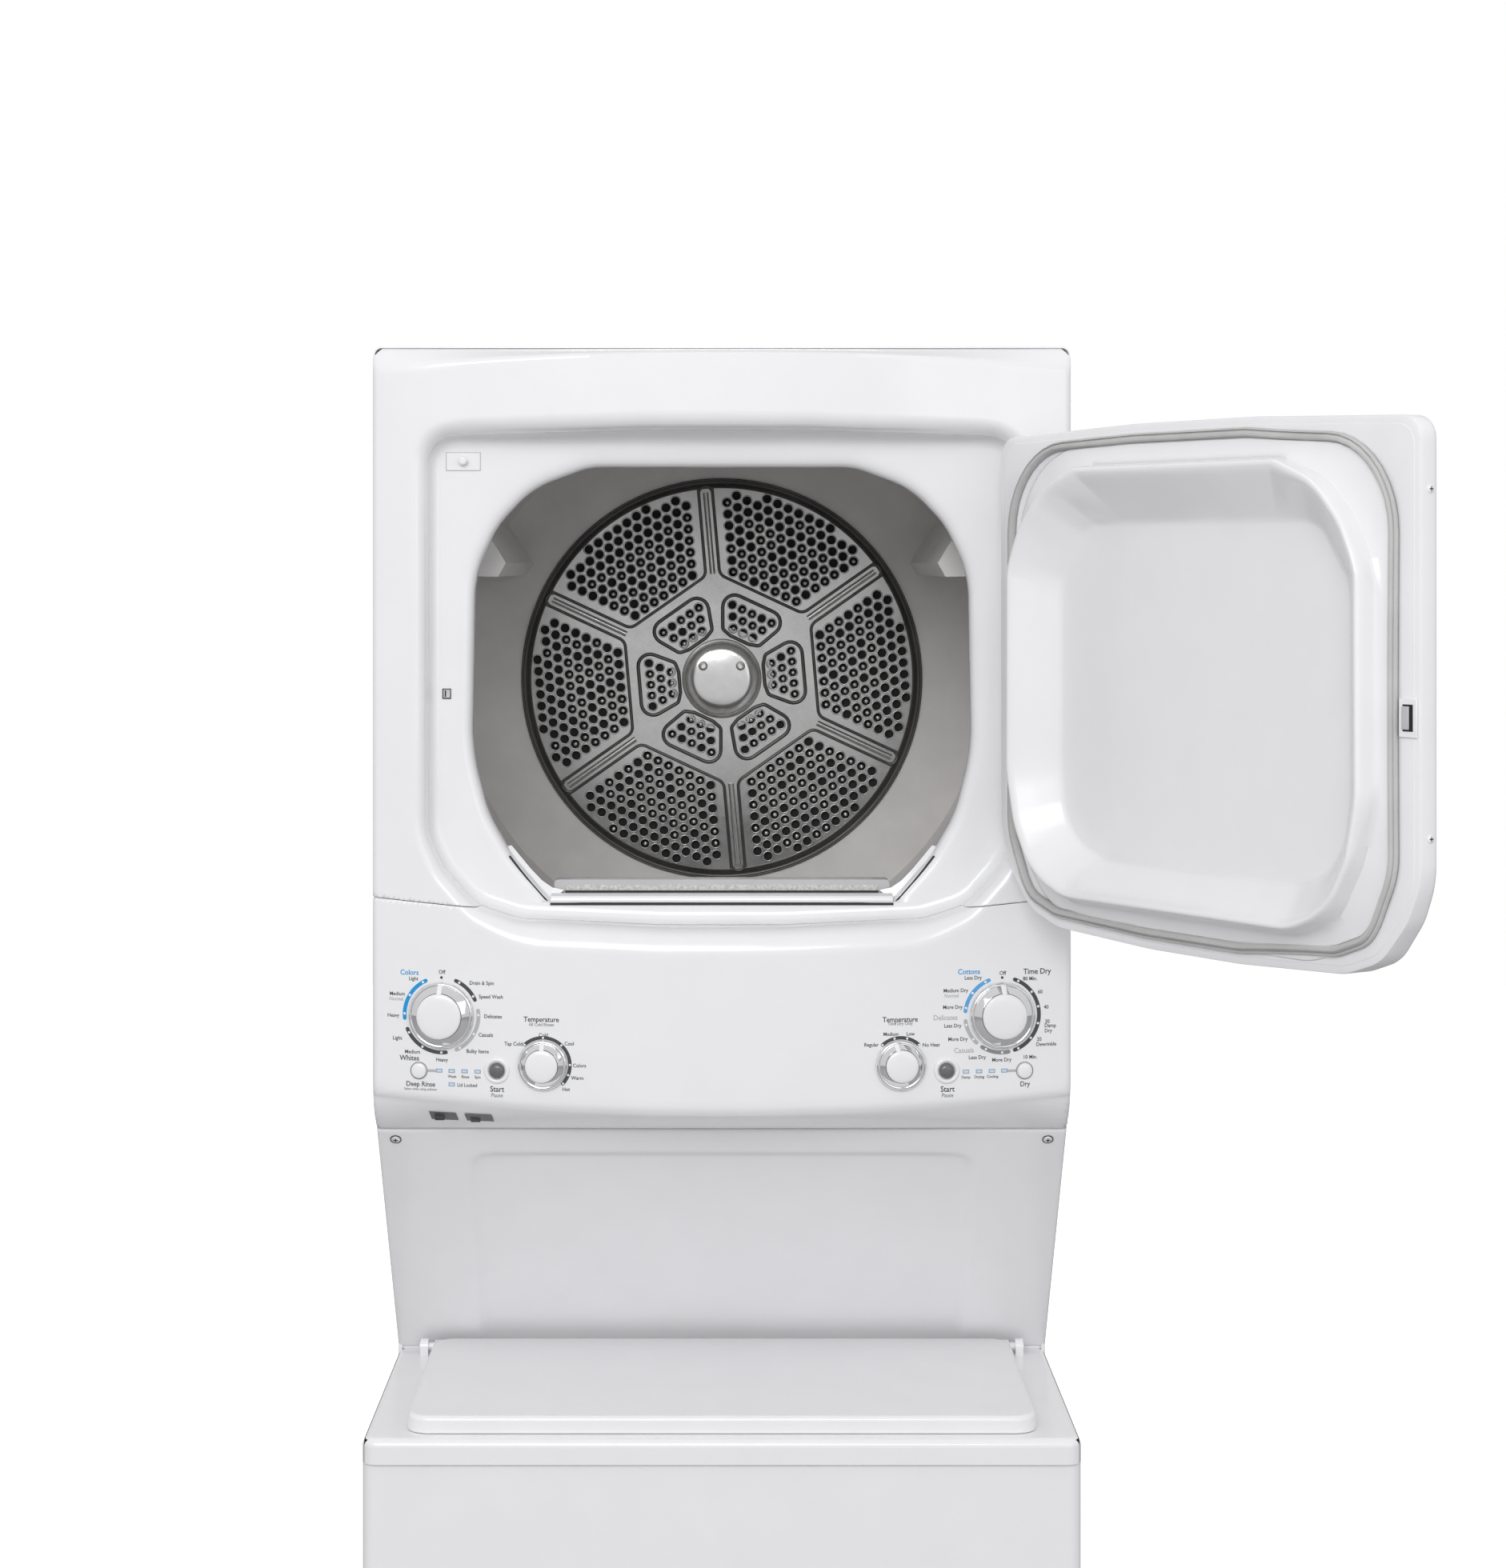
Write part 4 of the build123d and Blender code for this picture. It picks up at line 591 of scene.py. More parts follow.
# ---------------------------------------------------------------- dryer door, built shut and then opened
HINGE = Vector((283, -309, 0)) * MM
OPEN = Matrix.Translation(HINGE) @ Matrix.Rotation(radians(122), 4, "Z") @ Matrix.Translation(-HINGE)
DOOR = both([(80, 1842.5), (279, 1836), (279, 1455), (263.5, 1421.5), (233.5, 1387), (192, 1373), (60, 1367)])
DOOR_R = [300, 20, 75, 60, 50, 70, 300, 300, 70, 50, 60, 75, 20, 300]


def door_ring(inset, drop=0.0, lift=0.0, corner=None, foot=None):
    """Door outline drawn in by its sides, top (inset + drop) and bottom (inset + lift)."""
    n = len(DOOR)
    edges = [-inset] * n
    for i in (0, 12, 13):
        edges[i] = -(inset + drop)
    for i in (3, 4, 5, 6, 7, 8, 9):
        edges[i] = -(inset + lift)
    radii = [max(3.0, r - inset) for r in DOOR_R]
    if corner is not None:
        radii[1] = radii[12] = corner
    if foot is not None:
        for i in (2, 3, 4, 9, 10, 11):
            radii[i] = foot
    return cast(rounded(pushed(DOOR, edges), radii))


def rings_mesh(name, rings, mat, slot, centre_y=None, **kw):
    """Door skin through rings of (distances, depths); centre_y closes it over the middle."""
    verts = []
    for r, y in rings:
        x, z = at(r)
        verts += zip(x.tolist(), np.broadcast_to(y, x.shape).tolist(), z.tolist())
    faces = grid_faces(len(rings), COLUMNS, closed=True)
    if centre_y is not None:
        faces += [(len(verts), (k + 1) % COLUMNS, k) for k in range(COLUMNS)]
        verts.append((CENTRE[0], centre_y, CENTRE[1]))
    piece(name, verts, faces, mat, "dryer_door", slot, turn=OPEN, **kw)


FLANGE = -290.0                                # plane of the door's inner flange
ROUND = 7.0                                    # radius of the door's front edge
edge = door_ring(0.0)
rings = []
for t in (0.12, 0.3, 0.5, 0.7, 0.85, 0.94):
    rings.append((edge * t, bow(at(edge * t)[0])))
for k in range(7):
    a = pi / 2 * k / 6
    r = door_ring(ROUND * (1 - sin(a)))
    rings.append((r, bow(at(r)[0]) + ROUND * (1 - cos(a))))
rings += [(edge, even(FLANGE - 2.2)), (door_ring(0.5), even(FLANGE - 0.7)), (door_ring(2.0), even(FLANGE))]
for inset, corner in ((12, 14), (24, 60), (33, 66)):
    rings.append((door_ring(inset, corner=corner), even(FLANGE)))
rings_mesh("door_skin", rings, "white_enamel", "white_enamel", centre_y=CROWN, angle=40, solid=0.8,
           replaces=("outer_door_panel",))

# the raised plate over the flange, its edge showing as a line along the free side
rings = [(door_ring(inset, corner=18 if inset < 10 else 66), even(FLANGE + lift))
         for inset, lift in ((6.3, -0.3), (6.8, 0.25), (7.4, 0.4), (20.0, 0.4), (34.0, 0.4))]
rings_mesh("door_inner_plate", rings, "white_plastic", "white_enamel", angle=60, solid=0.5)


def gasket_ring(across):
    """Ring of the gasket, across from its outer edge; it stands 8 mm further in along the free side."""
    r = door_ring(16.0 + across, drop=-7.0 - across * 0.1, lift=-6.0, corner=max(30, 86 - across), foot=76)
    return r - 8.0 * np.clip((-COS - 0.3) / 0.5, 0, 1)


GASKET_SCALE = 0.68                            # width of the gasket against its profile
rings = [(gasket_ring(across * GASKET_SCALE), even(FLANGE + lift)) for across, lift in (
    (0.0, 0.9), (0.0, 3.2), (0.8, 4.4), (2.6, 4.9), (3.4, 3.4), (4.2, 3.2), (5.0, 5.2), (7.2, 6.6), (10.4, 6.6),
    (12.4, 5.0), (13.0, 3.0), (13.6, 2.6), (14.2, 3.4), (14.6, 0.9))]
rings_mesh("door_seal", rings, "gasket", "dark_rubber", angle=40, solid=0.6, replaces=("door_gasket",))

# liner: a rim on the flange, a crest that stands into the opening, and a bowl

RIM = both([(168, 1824), (214, 1806), (246, 1760), (250.5, 1700), (250.5, 1500), (240, 1440), (205, 1396),
            (150, 1380.5)])
CREST = both([(150, 1802), (188, 1790), (222, 1752), (233, 1712), (234, 1520), (219, 1457), (190, 1424),
              (150, 1409)])
BOWL = both([(140, 1751), (158, 1745), (190, 1700), (192, 1680), (192, 1520), (186, 1482), (168, 1456),
             (130, 1443)])


def soft(shape, radii):
    return cast(rounded(shape, radii + radii[::-1]))


mouth = opening_ring(-4.0)     # what stands out past the flange has to pass through the opening
rim = soft(RIM, [80] + [90] * 7)
crest = np.minimum(soft(CREST, [40, 60, 60, 60, 90, 90, 90, 70]), mouth - 2.0)
bowl = soft(BOWL, [20, 26, 26, 26, 60, 60, 60, 50])
liner = [(rim + 1.5, FLANGE + 0.9), (rim, FLANGE + 1.6), (rim - 1.5, FLANGE + 1.9)]
for t, lift in ((0.25, 3.0), (0.5, 5.0), (0.66, 8.0), (0.76, 13.0), (0.84, 19.5), (0.91, 25.0), (0.97, 27.6),
                (1.0, 28.0)):
    ring = rim + (crest - rim) * t
    liner.append((ring if lift < 7 else np.minimum(ring, mouth), FLANGE + lift))
for t, lift in ((0.06, 27.7), (0.12, 26.4), (0.19, 23.9), (0.36, 16.9), (0.55, 9.2), (0.75, 1.2), (0.88, -4.0),
                (0.94, -5.9), (0.99, -6.8), (1.04, -7.1)):
    liner.append((crest + (bowl - crest) * t, FLANGE + lift))
inner = liner[-1][0]
for t in (0.93, 0.8, 0.6, 0.4, 0.2):
    liner.append((inner * t, FLANGE - 7.4 - 1.6 * (1 - t)))
rings_mesh("door_liner", liner[::-1], "white_plastic", "white_plastic", centre_y=FLANGE - 9.0, angle=70, solid=1.6,
           replaces=("inner_door_liner",))


# catch plate on the free edge with its sprung pocket; the pocket's mouth is a near-black box of painted shade
box_piece("catch_plate", (-276.5, -256.5, FLANGE + 0.4, FLANGE + 2.2, 1574, 1606), "white_plastic", "dryer_door",
          "white_plastic", turn=OPEN, bevel=0.6, replaces=("door_catch",))
box_piece("catch_mouth", (-272.5, -261.0, FLANGE + 2.1, FLANGE + 2.4, 1579, 1601), "hole_dark", "dryer_door",
          "black_plastic", turn=OPEN)
box_piece("catch_tongue", (-269.0, -261.5, FLANGE + 2.3, FLANGE + 4.6, 1580.5, 1599.5), "light_grey_plastic",
          "dryer_door", "light_grey_plastic", turn=OPEN, bevel=0.7)


def cross_screw(name, matrix, radius, body, slot, mat, turn=None, height=1.2):
    """Domed screw head with a cross recess; the recess is a near-black cross of painted shade."""
    turned(name, [(radius, 0.0), (radius, height * 0.35), (radius * 0.86, height * 0.75), (radius * 0.55, height),
                  (radius * 0.2, height * 1.05)], matrix, mat, body, slot, steps=28, turn=turn, angle=30)
    arm, wide = radius * 0.55, radius * 0.13
    v, f = joined([box_mesh(-a, a, -b, b, height * 0.9, height * 1.12) for a, b in ((arm, wide), (wide, arm))])
    piece(name + "_cross", placed(v, matrix), f, "hole_dark", body, "black_plastic", turn=turn)


for i, z in enumerate((1776, 1492)):
    m = Matrix.Translation((-279.0, -301, z)) @ Matrix.Rotation(radians(-90), 4, "Y")
    cross_screw("edge_screw_%d" % (i + 1), m, 3.6, "dryer_door", "zinc_steel", "white_plastic", turn=OPEN)
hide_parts("door_screws")

# ---------------------------------------------------------------- slope panel
SLOPE_Y, SLOPE_Z, RATE = -263.0, 1158.0, 0.755     # its top edge, and how far it recedes per mm of drop
DROP = 265.0
LEAN = atan(RATE)
LENGTH = hypot(DROP, DROP * RATE)
SIDE_FOLD = 14.5                               # how deep its sides turn back
PANEL_HALF, PANEL_TOP, PANEL_R = 256, 30, 30   # embossed panel: half width, top and corner radius
PANEL_EASE, PANEL_DEPTH, EDGE_R = 16.0, 4.5, 3.0


def on_slope(u, w, lift=0.0):
    """Point on the slope panel: u across, w down from its top edge, lift out of it."""
    return (u, SLOPE_Y + w * sin(LEAN) - lift * cos(LEAN),
            SLOPE_Z - w * cos(LEAN) - lift * sin(LEAN))


us = [0, 1.0, 2.4, 5, 60, 72, 76, 79, 82, 85, 88, 91, 94, 97, 102, 115, 160, 220, 280, 340]
us = [-HALF - 1] + [-HALF + u for u in us] + [HALF - u for u in us[::-1][1:]] + [HALF + 1]
ws = [0, 1.0, 2.4, 6, 22, 26, 29, 32, 35, 38, 41, 44, 48, 56, 75, 110, 160, 220, 270, LENGTH - 22, LENGTH - 6,
      LENGTH - 1.5, LENGTH - 0.5]
verts = []
for w in ws:
    for u in us:
        qx = abs(u) - (PANEL_HALF - PANEL_R)
        qz = PANEL_TOP + PANEL_R - w
        inside = PANEL_R - hypot(max(qx, 0), max(qz, 0)) - min(max(qx, qz), 0)
        t = min(1.0, max(0.0, inside / PANEL_EASE))
        lift = -PANEL_DEPTH * (t * t * (3 - 2 * t))
        e = max(0.0, min(HALF - abs(u), w, EDGE_R))
        lift -= EDGE_R - sqrt(max(0.0, EDGE_R ** 2 - (EDGE_R - e) ** 2))
        if abs(u) > HALF:
            lift = -SIDE_FOLD
        verts.append(on_slope(max(-HALF, min(HALF, u)), w, lift))
piece("slope_sheet", verts, grid_faces(len(ws), len(us)), "white_enamel", "cabinet", "white_enamel", angle=60,
      solid=1.2, replaces=("slope_access_panel",), outward=(0, -1, -0.7))
for i, sign in enumerate((-1, 1)):
    m = Matrix.Translation(on_slope(sign * 322, 14, 0.2)) @ Matrix.Rotation(pi / 2 + LEAN, 4, "X")
    cross_screw("slope_screw_%d" % (i + 1), m, 4.3, "cabinet", "zinc_steel", "screw_steel", height=1.6)
    # dark ring round each screw head: painted shade
    turned("slope_washer_%d" % (i + 1), [(5.6, 0.0), (5.6, 0.35), (4.8, 0.35), (4.8, 0.0)], m, "shadow_gap",
           "cabinet", "zinc_steel", steps=32, cap=False)
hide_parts("panel_screws")


# ---------------------------------------------------------------- controls
def front_frame(x, z):
    """Matrix whose local Z points straight out of the bowed front at x, z."""
    a = asin(x / RADIUS)
    return Matrix(((cos(a), 0, sin(a), x), (sin(a), 0, -cos(a), float(bow(x))), (0, 1, 0, z), (0, 0, 0, 1)))


def lay(points, x, z, lift):
    """Flat artwork laid on the bowed console."""
    return [(x + u, float(bow(x + u)) - lift, z + v) for u, v in points]


def raised(points, x, z, top, bottom):
    """Closed outline raised off the console, from lift bottom to lift top, without its back."""
    n = len(points)
    return lay(points, x, z, top) + lay(points, x, z, bottom), \
        [tuple(range(n))] + [(i, (i + 1) % n, n + (i + 1) % n, n + i) for i in range(n)]


def tile(w, h):
    """Corners of a rectangle, from its half width and half height."""
    return [(-w, -h), (w, -h), (w, h), (-w, h)]


def knob(name, x, z, ring, cap, angle, body, node):
    m = front_frame(x, z)
    turned(name + "_skirt", [(ring - 6, 1.0), (ring, 1.0), (ring + 0.2, 3.0), (ring - 0.3, 4.2), (ring - 1.4, 5.0),
                             (ring - 2.0, 5.2), (ring - 2.6, 5.0), (ring - 3.0, 4.6), (cap + 1.2, 9.5),
                             (cap + 0.6, 9.8)],
           m, "chrome", body, "chrome", steps=96, cap=False, angle=50, replaces=(node,))
    # the thin dark ring round the cap is painted shade in the gap between cap and skirt
    turned(name + "_rim", [(cap + 0.75, 6.0), (cap + 0.75, 10.2), (cap + 0.55, 10.5), (cap, 10.5), (cap, 9.0)],
           m, "shadow_gap", body, "black_plastic", steps=96, cap=False, angle=40)
    turned(name + "_cap", [(cap + 0.3, 6.0), (cap + 0.3, 11.8), (cap - 0.2, 12.7), (cap - 1.2, 13.2),
                           (cap * 0.7, 13.7), (cap * 0.35, 14.0), (0.6, 14.1)],
           m, "white_plastic", body, "chrome", steps=96, angle=40)
    w = 2.35 * (0.7 + 0.3 * (ring / 32))
    near, far = cap - 0.5, ring - 2.4              # the pointer runs out from the cap, falling to the ring
    v = [(-w, near, 8.7), (w, near, 8.7), (w, far, 3.8), (-w, far, 3.8),
         (-w, near, 11.3), (w, near, 11.3), (w, far, 6.1), (-w, far, 6.1)]
    piece(name + "_pointer", placed(v, m @ Matrix.Rotation(radians(angle), 4, "Z")),
          [(3, 2, 1, 0), (4, 5, 6, 7)] + SIDES, "white_plastic", body, "white_plastic", bevel=0.3)


SIDES = [(0, 1, 5, 4), (1, 2, 6, 5), (2, 3, 7, 6), (3, 0, 4, 7)]
TIMER, SELECTOR = (271.5, 1278), (172.4, 1232)     # places of the dryer's knobs; the washer's mirror them
for sign, side, low, turn, body in ((-1, "washer", "temperature", 0.0, "temperature_selector"),
                                    (1, "dryer", "heat", 14.0, "heat_selector")):
    knob(side + "_timer", sign * TIMER[0], TIMER[1], 32.0, 21.6, 0.0, side + "_timer", side + "_timer_knob")
    knob(side + "_" + low, sign * SELECTOR[0], SELECTOR[1], 24.0, 15.4, turn, body, side + "_" + low + "_knob")
    start, option = side + "_start", side + "_option"
    m = front_frame(sign * 217.2, 1225.6)
    turned(start + "_bezel", [(12.6, 0.0), (12.4, 1.0), (11.4, 1.7), (10.0, 1.8), (8.6, 1.2), (8.2, 0.2), (8.2, -3)],
           m, "white_plastic", "cabinet", "white_plastic", cap=False, angle=50)
    turned(start + "_ball", [(7.7, -5.0), (7.7, 0.6), (7.3, 2.0), (6.3, 3.3), (4.6, 4.1), (2.4, 4.5), (0.4, 4.6)],
           m, "button_grey", start, "light_grey_plastic", steps=48, angle=40, replaces=(start + "_button",))
    m = front_frame(sign * 293.6, 1223.8)
    turned(option + "_ring", [(8.6, 0.0), (8.5, 0.5), (7.9, 0.6), (7.8, 0.0)], m, "ink_grey", "cabinet",
           "black_plastic", steps=48, cap=False, angle=40)
    turned(option + "_disc", [(7.35, -5.0), (7.35, 1.6), (6.9, 2.5), (5.6, 3.0), (3.0, 3.3), (0.4, 3.4)], m,
           "white_plastic", option, "white_plastic", steps=48, angle=40, replaces=(option + "_button",))


def ring_arc(cx, cz, radius, width, a0, a1):
    """Rounded stroke of a circle, from angle a0 to a1 in degrees, raised off the console."""
    steps = max(4, int(abs(a1 - a0) / 3))
    angles = [radians(a0 + (a1 - a0) * k / steps) for k in range(steps + 1)]
    turn = 1 if a1 > a0 else -1
    pts = []
    for path, side, end in ((angles, 1, a1), (angles[::-1], -1, a0)):
        pts += [polar(radius + side * width / 2, degrees(a)) for a in path]
        mid = polar(radius, end)
        for k in range(1, 6):
            a = end + (0 if side > 0 else 180) + turn * 30 * k
            pts.append(tuple(m + p for m, p in zip(mid, polar(width / 2, a))))
    return raised(pts, cx, cz, 0.22, 0.02)


def dots(cx, cz, radius, size, angles):
    return [raised(circle(*polar(radius, a), size, 14), cx, cz, 0.34, 0.1) for a in angles]


# where each knob's printed scale is: centre, radius and stroke width
WASHER, DRYER = (-271.5, 1278.2, 36.3), (271.5, 1278.2, 36.3)
COLD, HEAT = (-172.4, 1232, 26.2), (172.4, 1232, 26.2)
WIDE, THIN = 3.7, 3.3
STROKES = {
    "ink_blue": [(*WASHER, WIDE, 115, 186)],
    "ink_sky": [(*DRYER, WIDE, 111, 173)],
    "ink_dark": [(*WASHER, WIDE, 67, 25), (*WASHER, WIDE, 203, 277), (*DRYER, WIDE, 70, -70),
                 (*COLD, THIN, 133, -43), (*HEAT, THIN, 132, 48)],
    "ink_grey": [(*DRYER, WIDE, 237, 280)],
    "ink_light": [(*WASHER, WIDE, 8, -66), (*DRYER, WIDE, 188, 226)],
}
for ink, strokes in STROKES.items():
    joined_piece("scale_" + ink, [ring_arc(*s) for s in strokes], ink, "cabinet", "black_plastic", angle=20,
                 outward=FRONT)
joined_piece("scale_dots", dots(*WASHER, 1.2, (120, 149, 179, 61, 31, 1, -29, -60, 209, 239, 270))
             + dots(*DRYER, 1.2, (117, 143, 168, 194, 219, 244, 270, 64, 37, 12, -14, -39, -64))
             + dots(*COLD, 1.1, (133, 90, 47, 1, -21, -42)) + dots(*HEAT, 1.1, (132, 103, 76, 47)),
             "ink_white", "cabinet", "white_plastic", angle=20, outward=FRONT)
joined_piece("scale_off_dots", dots(*WASHER, 1.3, (90,)) + dots(*DRYER, 1.3, (90,)), "ink_dark", "cabinet",
             "black_plastic", angle=20, outward=FRONT)

# words of the panel by ink and height of their capitals, each with its centre
WORDS = {
    "ink_dark": {
        2.7: (("Wash", -261, 1219), ("Rinse", -248, 1219), ("Spin", -236, 1219), ("Damp", 236, 1219),
              ("Drying", 249, 1219), ("Cooling", 262, 1219)),
        3.4: (("Lid Locked", -246.2, 1211),),
        3.5: (("Cold", -172, 1261), ("Cool", -147, 1253), ("Colors", -137, 1232), ("Warm", -139, 1220),
              ("Hot", -150, 1209), ("Medium", 163, 1262), ("Low", 182, 1262), ("Regular", 144, 1252)),
        3.6: (("Light", -299, 1313), ("Medium", -315, 1298), ("Heavy", -319, 1277), ("Light", -315, 1255),
              ("Medium", -300, 1242), ("Heavy", -271, 1235), ("Drain & Spin", -232, 1310),
              ("Speed Wash", -223, 1297), ("Delicates", -221, 1278), ("Casuals", -228, 1260),
              ("Bulky Items", -236, 1244), ("Tap Cold", -201, 1252), ("Less Dry", 243, 1315),
              ("80 Min.", 299, 1313), ("Medium Dry", 226, 1303), ("60", 309, 1300), ("More Dry", 223, 1287),
              ("40", 315, 1285), ("Less Dry", 223, 1269), ("30", 316, 1271), ("Damp", 319, 1267),
              ("Dry", 317, 1262), ("More Dry", 228, 1256), ("20", 308, 1254), ("Dewrinkle", 315, 1249),
              ("Less Dry", 247, 1238), ("More Dry", 271, 1235), ("10 Min.", 299, 1237), ("No Heat", 202, 1251)),
        3.7: (("Off", -271, 1320), ("Off", 272, 1319)),
        4.7: (("Deep Rinse", -292, 1211), ("Dry", 294, 1211)),
        4.9: (("Temperature", -174, 1276), ("Temperature", 172, 1276)),
        5.0: (("Whites", -303, 1236),),
        5.3: (("Time Dry", 306, 1320),),
        5.4: (("Start", -217, 1208), ("Start", 218, 1208))},
    "ink_blue": {
        5.0: (("Colors", -303, 1319), ("Cottons", 239, 1321))},
    "ink_light": {
        3.4: (("Normal", -316, 1293), ("Normal", 222, 1298)),
        4.9: (("Delicates", 216, 1277), ("Casuals", 234, 1245))},
    "ink_grey": {
        2.3: (("Select when using softener", -292, 1206),),
        3.0: (("All Cold Rinses", -174, 1271), ("Time Dry Only", 172, 1272)),
        3.8: (("Pause", -217, 1202), ("Pause", 218, 1202))}}


CAP_HEIGHT, NARROW = 0.7, 0.915                # capitals against the font's size; width against the font's


def curve_mesh(data):
    """Verts and faces of a filled curve, which is then removed."""
    holder = bpy.data.objects.new(data.name, data)
    mesh = bpy.data.meshes.new_from_object(holder)
    verts = [tuple(v.co) for v in mesh.vertices]
    faces = [tuple(p.vertices) for p in mesh.polygons]
    bpy.data.objects.remove(holder)
    bpy.data.meshes.remove(mesh)
    bpy.data.curves.remove(data)
    return verts, faces


def word_mesh(word, x, z, tall):
    """Raised print: verts and faces of a word centred on x, z, its capitals `tall` mm high."""
    curve = bpy.data.curves.new("word", "FONT")
    curve.body = word
    curve.size = tall / CAP_HEIGHT
    curve.align_x = "CENTER"
    curve.resolution_u = 3
    curve.offset = 0.02 * tall
    v, f = curve_mesh(curve)
    return lay([(a * NARROW, b - tall / 2) for a, b, c in v], x, z, 0.15), f


for ink, sizes in WORDS.items():
    joined_piece("lettering_" + ink, [word_mesh(*w, tall) for tall, words in sizes.items() for w in words], ink,
                 "cabinet", "black_plastic", angle=20, merge=0.001, outward=FRONT)

# indicator windows with their frames, and the bars to the option buttons
WINDOWS = [(s * c, 1224.3) for s in (-1, 1) for c in (236.0, 248.8, 261.4, 273.6)] + [(-261.4, 1211.3)]


def tiles(places, w, h, lift):
    parts = []
    for x, z in places:
        pts = tile(w, h)
        parts.append((lay(pts, x, z, lift) + lay(pts, x, z, 0.0), [(3, 2, 1, 0)] + SIDES))
    return parts


joined_piece("lens_frames", tiles(WINDOWS, 3.1, 1.9, 0.25), "lens_plastic", "cabinet", "lens_plastic", outward=FRONT)
joined_piece("lens_windows", tiles(WINDOWS, 2.2, 1.05, 0.5), "lens_window", "cabinet", "lens_plastic", outward=FRONT,
             replaces=("indicator_lenses",))
joined_piece("option_bars", tiles([(-281.0, 1224.0), (281.0, 1224.0)], 5, 1.3, 0.2), "ink_light", "cabinet",
             "light_grey_plastic", outward=FRONT)



# ---------------------------------------------------------------- drum back: perforated sheet, ribs, hub
DISC_Y = 320.6
HUB_Z = 1580.0


holes = []
PITCH = 13.7
for k in range(6):
    mid = 65 + 60 * k
    e_out = polar(1, mid)
    e_side = polar(1, mid - 90)
    for row in range(9):
        d = 119.5 + row * PITCH * 0.866
        for j in range(-9, 10):
            s = (j + 0.5 * (row % 2)) * PITCH
            p = (e_out[0] * d + e_side[0] * s, e_out[1] * d + e_side[1] * s)
            r = hypot(*p)
            off = abs(degrees(atan2(p[1], p[0])) - mid) % 360
            off = min(off, 360 - off)
            clear = sin(radians(30 - off)) * r
            if off < 30 and clear > 14.5 and r < 219:
                holes.append((p, 5.3))
    for row, count in ((0, 5), (1, 4), (2, 3)):
        d = 84.0 - row * PITCH * 0.9
        for j in range(count):
            s = (j - (count - 1) / 2) * PITCH * 0.93
            holes.append(((e_out[0] * d + e_side[0] * s, e_out[1] * d + e_side[1] * s), 4.9))


def disc_curve(name, outlines, thick):
    """Flat sheet with real holes, from closed outlines."""
    data = bpy.data.curves.new(name, "CURVE")
    data.dimensions = "2D"
    data.fill_mode = "BOTH"
    data.extrude = thick / 2
    for outline in outlines:
        spline = data.splines.new("POLY")
        spline.points.add(len(outline) - 1)
        for point, (x, z) in zip(spline.points, outline):
            point.co = (x, z, 0, 1)
        spline.use_cyclic_u = True
    return curve_mesh(data)


STAND = Matrix.Translation((0, DISC_Y, HUB_Z)) @ Matrix.Rotation(pi / 2, 4, "X")
v, f = disc_curve("sheet", [circle(0, 0, 226, 160)] + [circle(*p, r, 18) for p, r in holes], 1.0)
piece("drum_back_sheet", placed(v, STAND), f, "stainless", "drum", "stainless", angle=40, merge=0.001,
      replaces=("rear_grille_disc",))
collars = []
for p, r in holes:
    v, f = lathe([(r + 1.35, 0.3), (r + 0.9, 1.15), (r + 0.3, 1.45), (r - 0.25, 1.1), (r - 0.35, -0.6)], steps=18,
                 cap=False)
    collars.append(([(x + p[0], y + p[1], z) for x, y, z in v], f))
v, f = joined(collars)
piece("drum_back_collars", placed(v, STAND), f, "stainless", "drum", "stainless", angle=60)
# the dark annulus behind the perforated sheet is painted shade, showing black through the holes
v, f = lathe([(226.5, -5.5), (30, -5.5), (30, -6.5), (226.5, -6.5)], steps=96, cap=False)
piece("drum_back_shade", placed(v, STAND), f, "hole_dark", "drum", "black_plastic")
bumps = []
for p, r in holes:
    rr = hypot(*p)
    if (rr < 190 and random.random() < 0.62) or random.random() < 0.12:
        v, f = lathe([(3.6, -5.6), (3.4, -3.6), (2.6, -2.4), (1.3, -1.7), (0.3, -1.5)], steps=12)
        bumps.append(([(x + p[0] + 0.5, y + p[1] - 0.4, z) for x, y, z in v], f))
v, f = joined(bumps)
piece("drum_back_dimples", placed(v, STAND), f, "stainless", "drum", "stainless", angle=60)


def tube(path, radius, closed, flat=1.0, sides=8):
    """Half-sunk bead along a path on the disc."""
    n = len(path)
    verts = []
    for i, p in enumerate(path):
        q = Vector(path[(i + 1) % n] if closed or i < n - 1 else p)
        o = Vector(path[i - 1] if closed or i > 0 else p)
        d = (q - o).normalized()
        side = Vector((-d.y, d.x))
        for k in range(sides):
            a = 2 * pi * k / sides
            verts.append((p[0] + side.x * cos(a) * radius, p[1] + side.y * cos(a) * radius,
                          0.4 + sin(a) * radius * flat))
    faces = []
    for i in range(n if closed else n - 1):
        for k in range(sides):
            a, b = i * sides + k, i * sides + (k + 1) % sides
            c, d_ = ((i + 1) % n) * sides + (k + 1) % sides, ((i + 1) % n) * sides + k
            faces.append((a, b, c, d_))
    if not closed:
        faces += [tuple(range(sides)), tuple(range((n - 1) * sides, n * sides))]
    return verts, faces


